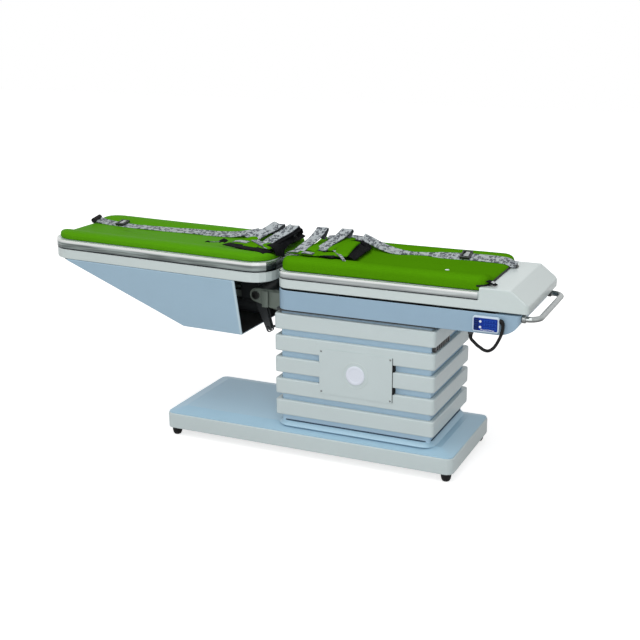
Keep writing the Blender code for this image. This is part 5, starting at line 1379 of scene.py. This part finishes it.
@dataclass
class NodeFinishes:
    """Gives every carried-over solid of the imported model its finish."""

    frame: dict
    palette: Palette

    CHOICES: ClassVar[dict[str, str]] = {
        "white_paint": "base_skirt column_band_1 column_band_2 column_band_3 column_band_4 column_band_5 "
                       "badge_plate",
        "white_shell": "chest_tray leg_tray",
        "blue_paint": "chest_housing",
        "lid_paint": "base_top",
        # The column core takes the blue painted lighter against the shade in its recesses.
        "core_blue_painted_lighter": "column_core",
        "shell_paint": "leg_hull",
        "grey_frame": "pivot_bracket leg_subframe",
        "dark_frame": "head_plate traction_actuator pitch_actuator leg_yoke roll_gearmotor "
                      "carriage_front_foot_end carriage_front_head_end carriage_back_foot_end "
                      "carriage_back_head_end foot_hook pitch_rod",
        "chest_trim_steel": "chest_trim",
        "leg_trim_steel": "leg_trim",
        "brushed_steel": "push_handle handle_socket_front pitch_pin roll_spindle slide_rail_front "
                         "slide_rail_back traction_rod",
        "black_plastic": "end_vent handle_socket_back handset_holder cord_gland",
        "black_rubber": "foot_front_left foot_front_right foot_back_left foot_back_right strap_knob",
        "handset_shell": "handset",
        "membrane": "handset_keypad",
        "pale_disc": "badge_disc",
    }

    def build(self) -> None:
        """Assign each finish to its nodes' material slots."""
        for finish, nodes in self.CHOICES.items():
            for node in nodes.split():
                for slot in self.frame["nodes"][node].material_slots:
                    slot.material = self.palette[finish]
            LOG.info("%s on %s", finish, nodes)


@dataclass
class Studio:
    """The camera, the floor, the world and the soft lamps."""

    shift: float
    lift: float
    azimuth: float = radians(24.4035)
    elevation: float = radians(16.3874)
    roll: float = radians(-0.3105)
    lens: float = 61.84
    distance: float = 4.5082
    target: Point = (-0.0280, 0.0, 0.4949)
    lit_from: Point = (0.1, 0.0, 0.5)
    world_strength: float = 0.44
    floor_size: float = 14.0
    floor_grey: Colour = (0.60, 0.60, 0.60)
    near_glow: float = 0.70
    mirrored_glow: float = 0.55

    LAMPS: ClassVar[tuple[tuple[str, Point, float, float], ...]] = (
        ("overhead", (0.2, -1.4, 3.6), 3.2, 64.0),
        ("front", (1.6, -3.8, 2.0), 2.4, 44.0),
        ("right", (3.8, -1.6, 1.6), 2.4, 7.0),
        ("left", (-3.6, -2.6, 2.2), 2.4, 24.0),
    )

    def add_camera(self) -> None:
        """Stand the camera where the photograph was taken."""
        level = cos(self.elevation)
        back = Vector((sin(self.azimuth) * level, -cos(self.azimuth) * level, sin(self.elevation)))
        right = Vector((cos(self.azimuth), sin(self.azimuth), 0))
        up = back.cross(right)
        turned_right = right * cos(self.roll) + up * sin(self.roll)
        turned_up = up * cos(self.roll) - right * sin(self.roll)
        place = Vector(self.target) + Vector((self.shift, 0, self.lift)) + back * self.distance
        data = bpy.data.cameras.new("view")
        data.lens = self.lens
        data.sensor_width = 36.0
        data.clip_end = 60.0
        camera = bpy.data.objects.new("view", data)
        turn = Matrix((turned_right, turned_up, back)).transposed().to_4x4()
        camera.matrix_world = Matrix.Translation(place) @ turn
        bpy.context.scene.collection.objects.link(camera)
        bpy.context.scene.camera = camera

    def add_lamps(self) -> None:
        """Hang the soft square lamps."""
        for name, place, size, power in self.LAMPS:
            data = bpy.data.lights.new(name, "AREA")
            data.shape = "SQUARE"
            data.size = size
            data.energy = power
            lamp = bpy.data.objects.new(name, data)
            lamp.location = Vector(place)
            away = Vector(place) - Vector(self.lit_from)
            lamp.rotation_euler = away.to_track_quat("Z", "Y").to_euler()
            bpy.context.scene.collection.objects.link(lamp)

    def add_world(self) -> None:
        """Soft light all round and a white backdrop for the camera and for gloss."""
        world = bpy.data.worlds.new("studio")
        bpy.context.scene.world = world
        world.use_nodes = True
        tree = Tree(world.node_tree)
        world.node_tree.nodes.clear()
        path = tree.add("LightPath").outputs
        seen = tree.math("MAXIMUM", path["Is Camera Ray"], path["Is Glossy Ray"])
        seen = tree.math("MAXIMUM", seen, path["Is Transmission Ray"])
        light = tree.add("Background", {"Color": WHITE, "Strength": self.world_strength})
        white = tree.add("Background", {"Color": WHITE, "Strength": 1.0})
        either = tree.add("MixShader", {0: seen, 1: light.outputs[0], 2: white.outputs[0]})
        tree.add("OutputWorld", {0: either.outputs[0]})

    def add_floor(self) -> None:
        """A plain pale floor that keeps the table's shadow."""
        bm = bmesh.new()
        bmesh.ops.create_grid(bm, x_segments=1, y_segments=1, size=self.floor_size)
        mesh = bpy.data.meshes.new("floor")
        bm.to_mesh(mesh)
        bm.free()
        floor = bpy.data.objects.new("floor", mesh)
        bpy.context.scene.collection.objects.link(floor)
        material = bpy.data.materials.new("floor_white")
        material.use_nodes = True
        tree = Tree(material.node_tree)
        path = tree.add("LightPath").outputs
        mirrored = tree.times(path["Is Glossy Ray"], self.mirrored_glow)
        seen = tree.math("MAXIMUM", path["Is Camera Ray"], mirrored)
        glow = tree.times(seen, tree.ramp(tree.span("LENGTH"), 1.0, 3.0, self.near_glow, 1.0))
        tree.feed(material.node_tree.nodes["Principled BSDF"], {
            "Base Color": self.floor_grey, "Roughness": 0.7, "Specular IOR Level": 0.0,
            "Emission Color": WHITE, "Emission Strength": glow,
        })
        mesh.materials.append(material)

    def build(self) -> None:
        """Light the table."""
        self.add_lamps()
        self.add_world()
        self.add_floor()
        bpy.context.scene.view_settings.view_transform = "Standard"


# Every band of the leg section's folded harness: kind, width, route and direction across.
LEG_BANDS = (
    Band(PADDED, 74, "-350 -105 806, -346 -60 799, -340 10 793, -338 80 797, -336 150 812"),
    Band(PADDED, 70, "-286 -130 806, -280 -80 806, -272 0 798, -266 80 800, -262 155 812"),
    Band(PADDED, 58, "-222 -128 806, -216 -70 808, -208 0 800, -204 80 800, -204 150 810"),
    Band(PADDED, 60, "-330 -62 808, -312 -20 816, -292 40 822, -280 100 818, -276 140 812"),
    Band(BACKING, 60, "-400 -98 802, -345 -116 803.2, -285 -134 803.2, -225 -142 802, -190 -150 796", FRONT),
    Band(BACKING, 70, "-226 -70 813, -200 -78 815, -180 -86 809, -166 -94 794, -158 -100 776", FRONT),
    Band(WEBBING, 36, "-378 -84 809, -350 -82 813, -312 -80 811", FRONT),
    Band(WEBBING, 34, "-296 -58 818, -262 -82 816, -228 -104 812, -200 -124 806", FRONT),
    Band(WEBBING, 46, "-402 92 806, -360 70 824, -320 50 833, -280 44 838, -250 60 834", (0, -1, -0.1)),
    Band(WEBBING, 48, "-340 -40 820, -326 -10 830, -316 30 838, -306 60 836, -300 90 826", (1, 0.2, 0)),
    Band(WEBBING, 49, "-312 -50 813, -304 -26 823, -284 6 840, -260 30 856, -242 43 868, -235 52 870, "
         "-236 56 864, -250 50 848, -270 44 830"),
    Band(WEBBING, 48, "-232 -82 814, -226 -62 822, -208 -26 837, -186 10 853, -172 34 866, -165 46 871, "
         "-164 51 865, -174 44 849, -190 36 831"),
    Band(BACKING, 44, "-214 -70 812, -196 -32 826, -176 4 842, -158 30 855, -149 44 860, -149 50 852, "
         "-160 40 834"),
    Band(BACKING, 50, "-181 -60 806, -177 -30 820, -173 10 830, -172 45 834", (1, 0, -0.7)),
    Band(BACKING, 42, "-186 -30 812, -184 30 810, -182 90 811, -180 145 816", (1, 0, -0.35)),
    Band(BACKING, 12, "-492 -118 802.5, -482 -116 806, -472 -114 803", FRONT),
    Band(BACKING, 22, "-440 -96 803, -424 -88 811, -408 -92 806", (0, -1, -0.4)),
    Band(WEBBING, 3.5, "-478 -115 804.2, -455 -108 804, -432 -94 805.2", FRONT),
)
# The same for the chest section.
CHEST_BANDS = (
    Band(PADDED, 70, "-58 -168 806, -56 -120 802, -50 -50 793, -44 50 794, -40 150 808"),
    Band(PADDED, 66, "6 -170 806, 8 -120 802, 16 -50 794, 24 50 796, 30 150 808"),
    Band(PADDED, 62, "64 -168 805.5, 70 -110 802, 82 -50 795, 96 50 796, 104 140 808"),
    Band(PADDED, 56, "-18 -120 812, -10 -70 814, 4 0 812, 14 60 814, 20 120 818"),
    Band(PADDED, 54, "44 -90 812, 50 -40 817, 60 20 823, 66 70 826, 70 110 820"),
    Band(PADDED, 66, "118 -142 805, 112 -100 811, 106 -40 818, 102 10 823, 100 50 819", (1, 0.25, 0.06)),
    Band(BACKING, 50, "148 -110 799, 146 -70 800, 142 -10 802, 140 40 803, 138 85 801", (1, 0.1, -0.5)),
    Band(BACKING, 36, "50 -150 806, 78 -156 807.5, 108 -164 805", FRONT),
    Band(WEBBING, 16, "78 -92 815, 104 -122 813, 132 -154 809, 160 -184 799", FRONT),
    Band(BACKING, 46, "100 96 823, 124 92 818, 142 88 804, 154 86 792", FRONT),
    Band(WEBBING, 46, "-30 86 823, 20 90 830, 66 98 831, 108 108 826, 140 116 816", (0, -1, -0.15)),
    Band(WEBBING, 30, "-92 -158 807, -70 -160 814, -44 -160 814", FRONT),
    Band(WEBBING, 28, "-26 -162 813, -4 -164 814, 20 -164 812", FRONT),
    Band(WEBBING, 48, "-55 -136 811, -53 -100 819, -49 -50 829, -44 -5 841, -39 28 856, -36 44 868, "
         "-35 52 870.5, -36 57 864, -40 52 848, -46 44 828"),
    Band(WEBBING, 48, "22 -102 812, 26 -70 822, 36 -20 832, 48 24 843, 58 50 856, 64 64 866, 66 71 868, "
         "65 76 862, 60 70 846, 54 60 830"),
)
# The straps' routes, with how far each point lifts off the pad in place of its height.
LEG_STRAP = (
    "-1172 100 8, -1150 98 3, -1100 93 0, -1036 88 0, -960 83 0, -880 85 1.5, -780 92 0, -680 98 1.5, "
    "-580 103 0, -480 112 3, -420 116 14, -375 112 28"
)
CHEST_STRAP = (
    "110 128 40, 150 125 26, 195 118 12, 245 110 4, 300 106 0, 400 110 0.5, 480 116 0, 547 120 0, "
    "620 118 2, 680 118 1, 712 118 -1, 723 119 -6, 734 120 -12, 750 121 -14.5"
)


@dataclass
class TractionTable:
    """The whole table, dressed sub-assembly by sub-assembly."""

    frame: dict
    shop: Workshop
    shift: float
    lift: float

    def section(self, body: Body, tilt: float = 0.0) -> tuple[Workshop, Section]:
        """The workshop and the section of the table that rides on a body."""
        return self.shop, Section(body, self.shift, self.lift, tilt)

    def gaps(self, *bands: str) -> tuple[Pair, ...]:
        """The heights between column bands.

        Args:
            bands: The bands, from the top one down or from the bottom one up.

        Returns:
            The bottom and the top of each gap in table positions.
        """
        found = []
        for pair in zip(bands, bands[1:]):
            lower, upper = sorted((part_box(band) for band in pair), key=lambda box: box[0][2])
            found.append((lower[1][2] - self.lift, upper[0][2] - self.lift))
        return tuple(found)

    def fittings(self) -> Iterable[Fitting]:
        """Every sub-assembly that comes after the cord.

        Returns:
            The sub-assemblies in order.
        """
        stand, chest = self.section(Body.STAND), self.section(Body.CHEST)
        leg = self.section(Body.LEG, LEG_REST_TILT)
        # The leg pad takes the green vinyl painted lighter for the extra light on it.
        leg_pad = Pad(*leg, "leg_cushion", "leg_pad", -1.1900, -0.1680, (0.100, 0.090), 0.7682, 0.033,
                      edge=0.034, finish="green_vinyl_painted_lighter", seed=5.0)
        chest_pad = Pad(*chest, "chest_cushion", "chest_pad", -0.1060, 0.7270, (0.052, 0.050),
                        0.7462, 0.053)
        yield leg_pad
        yield chest_pad
        yield Strap(*leg, "leg_web", "leg_strap", leg_pad, LEG_STRAP)
        yield Strap(*chest, "chest_web", "chest_strap", chest_pad, CHEST_STRAP, (0.357, 0.066, 0.72))
        yield LadderBuckle(*leg, "leg_ladder_buckle", "leg_buckle", leg_pad, -1.0356, 0.090)
        yield LadderBuckle(*chest, "chest_ladder_buckle", "chest_buckle", chest_pad, 0.5474, 0.120)
        yield ChestEnd(*chest, chest_pad)
        yield Harness(*leg, "leg_harness", LEG_BANDS)
        yield Harness(*chest, "chest_harness", CHEST_BANDS)
        yield HandControl(*stand)
        yield ColumnPlate(*stand, self.gaps("column_band_2", "column_band_3", "column_band_4"))
        yield StandDetails(*stand)

    def build(self) -> None:
        """Dress the table in order."""
        HandsetCord(*self.section(Body.STAND)).build()
        NodeFinishes(self.frame, self.shop.palette).build()
        for fitting in self.fittings():
            fitting.build()
            LOG.info("built %s", type(fitting).__name__)


def main() -> None:
    """Load the frame, dress the table and light it."""
    logging.basicConfig(level=logging.INFO, format="%(name)s: %(message)s")
    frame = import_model()
    low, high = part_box("column_band_1")
    shift = (low[0] + high[0]) / 2 - COLUMN_CENTRE_X
    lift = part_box("base_skirt")[0][2] - SKIRT_BOTTOM
    studio = Studio(shift, lift)
    studio.add_camera()
    TractionTable(frame, Workshop(Palette(SharedEffects(), shift, lift)), shift, lift).build()
    studio.build()


if __name__ == "__main__":
    main()
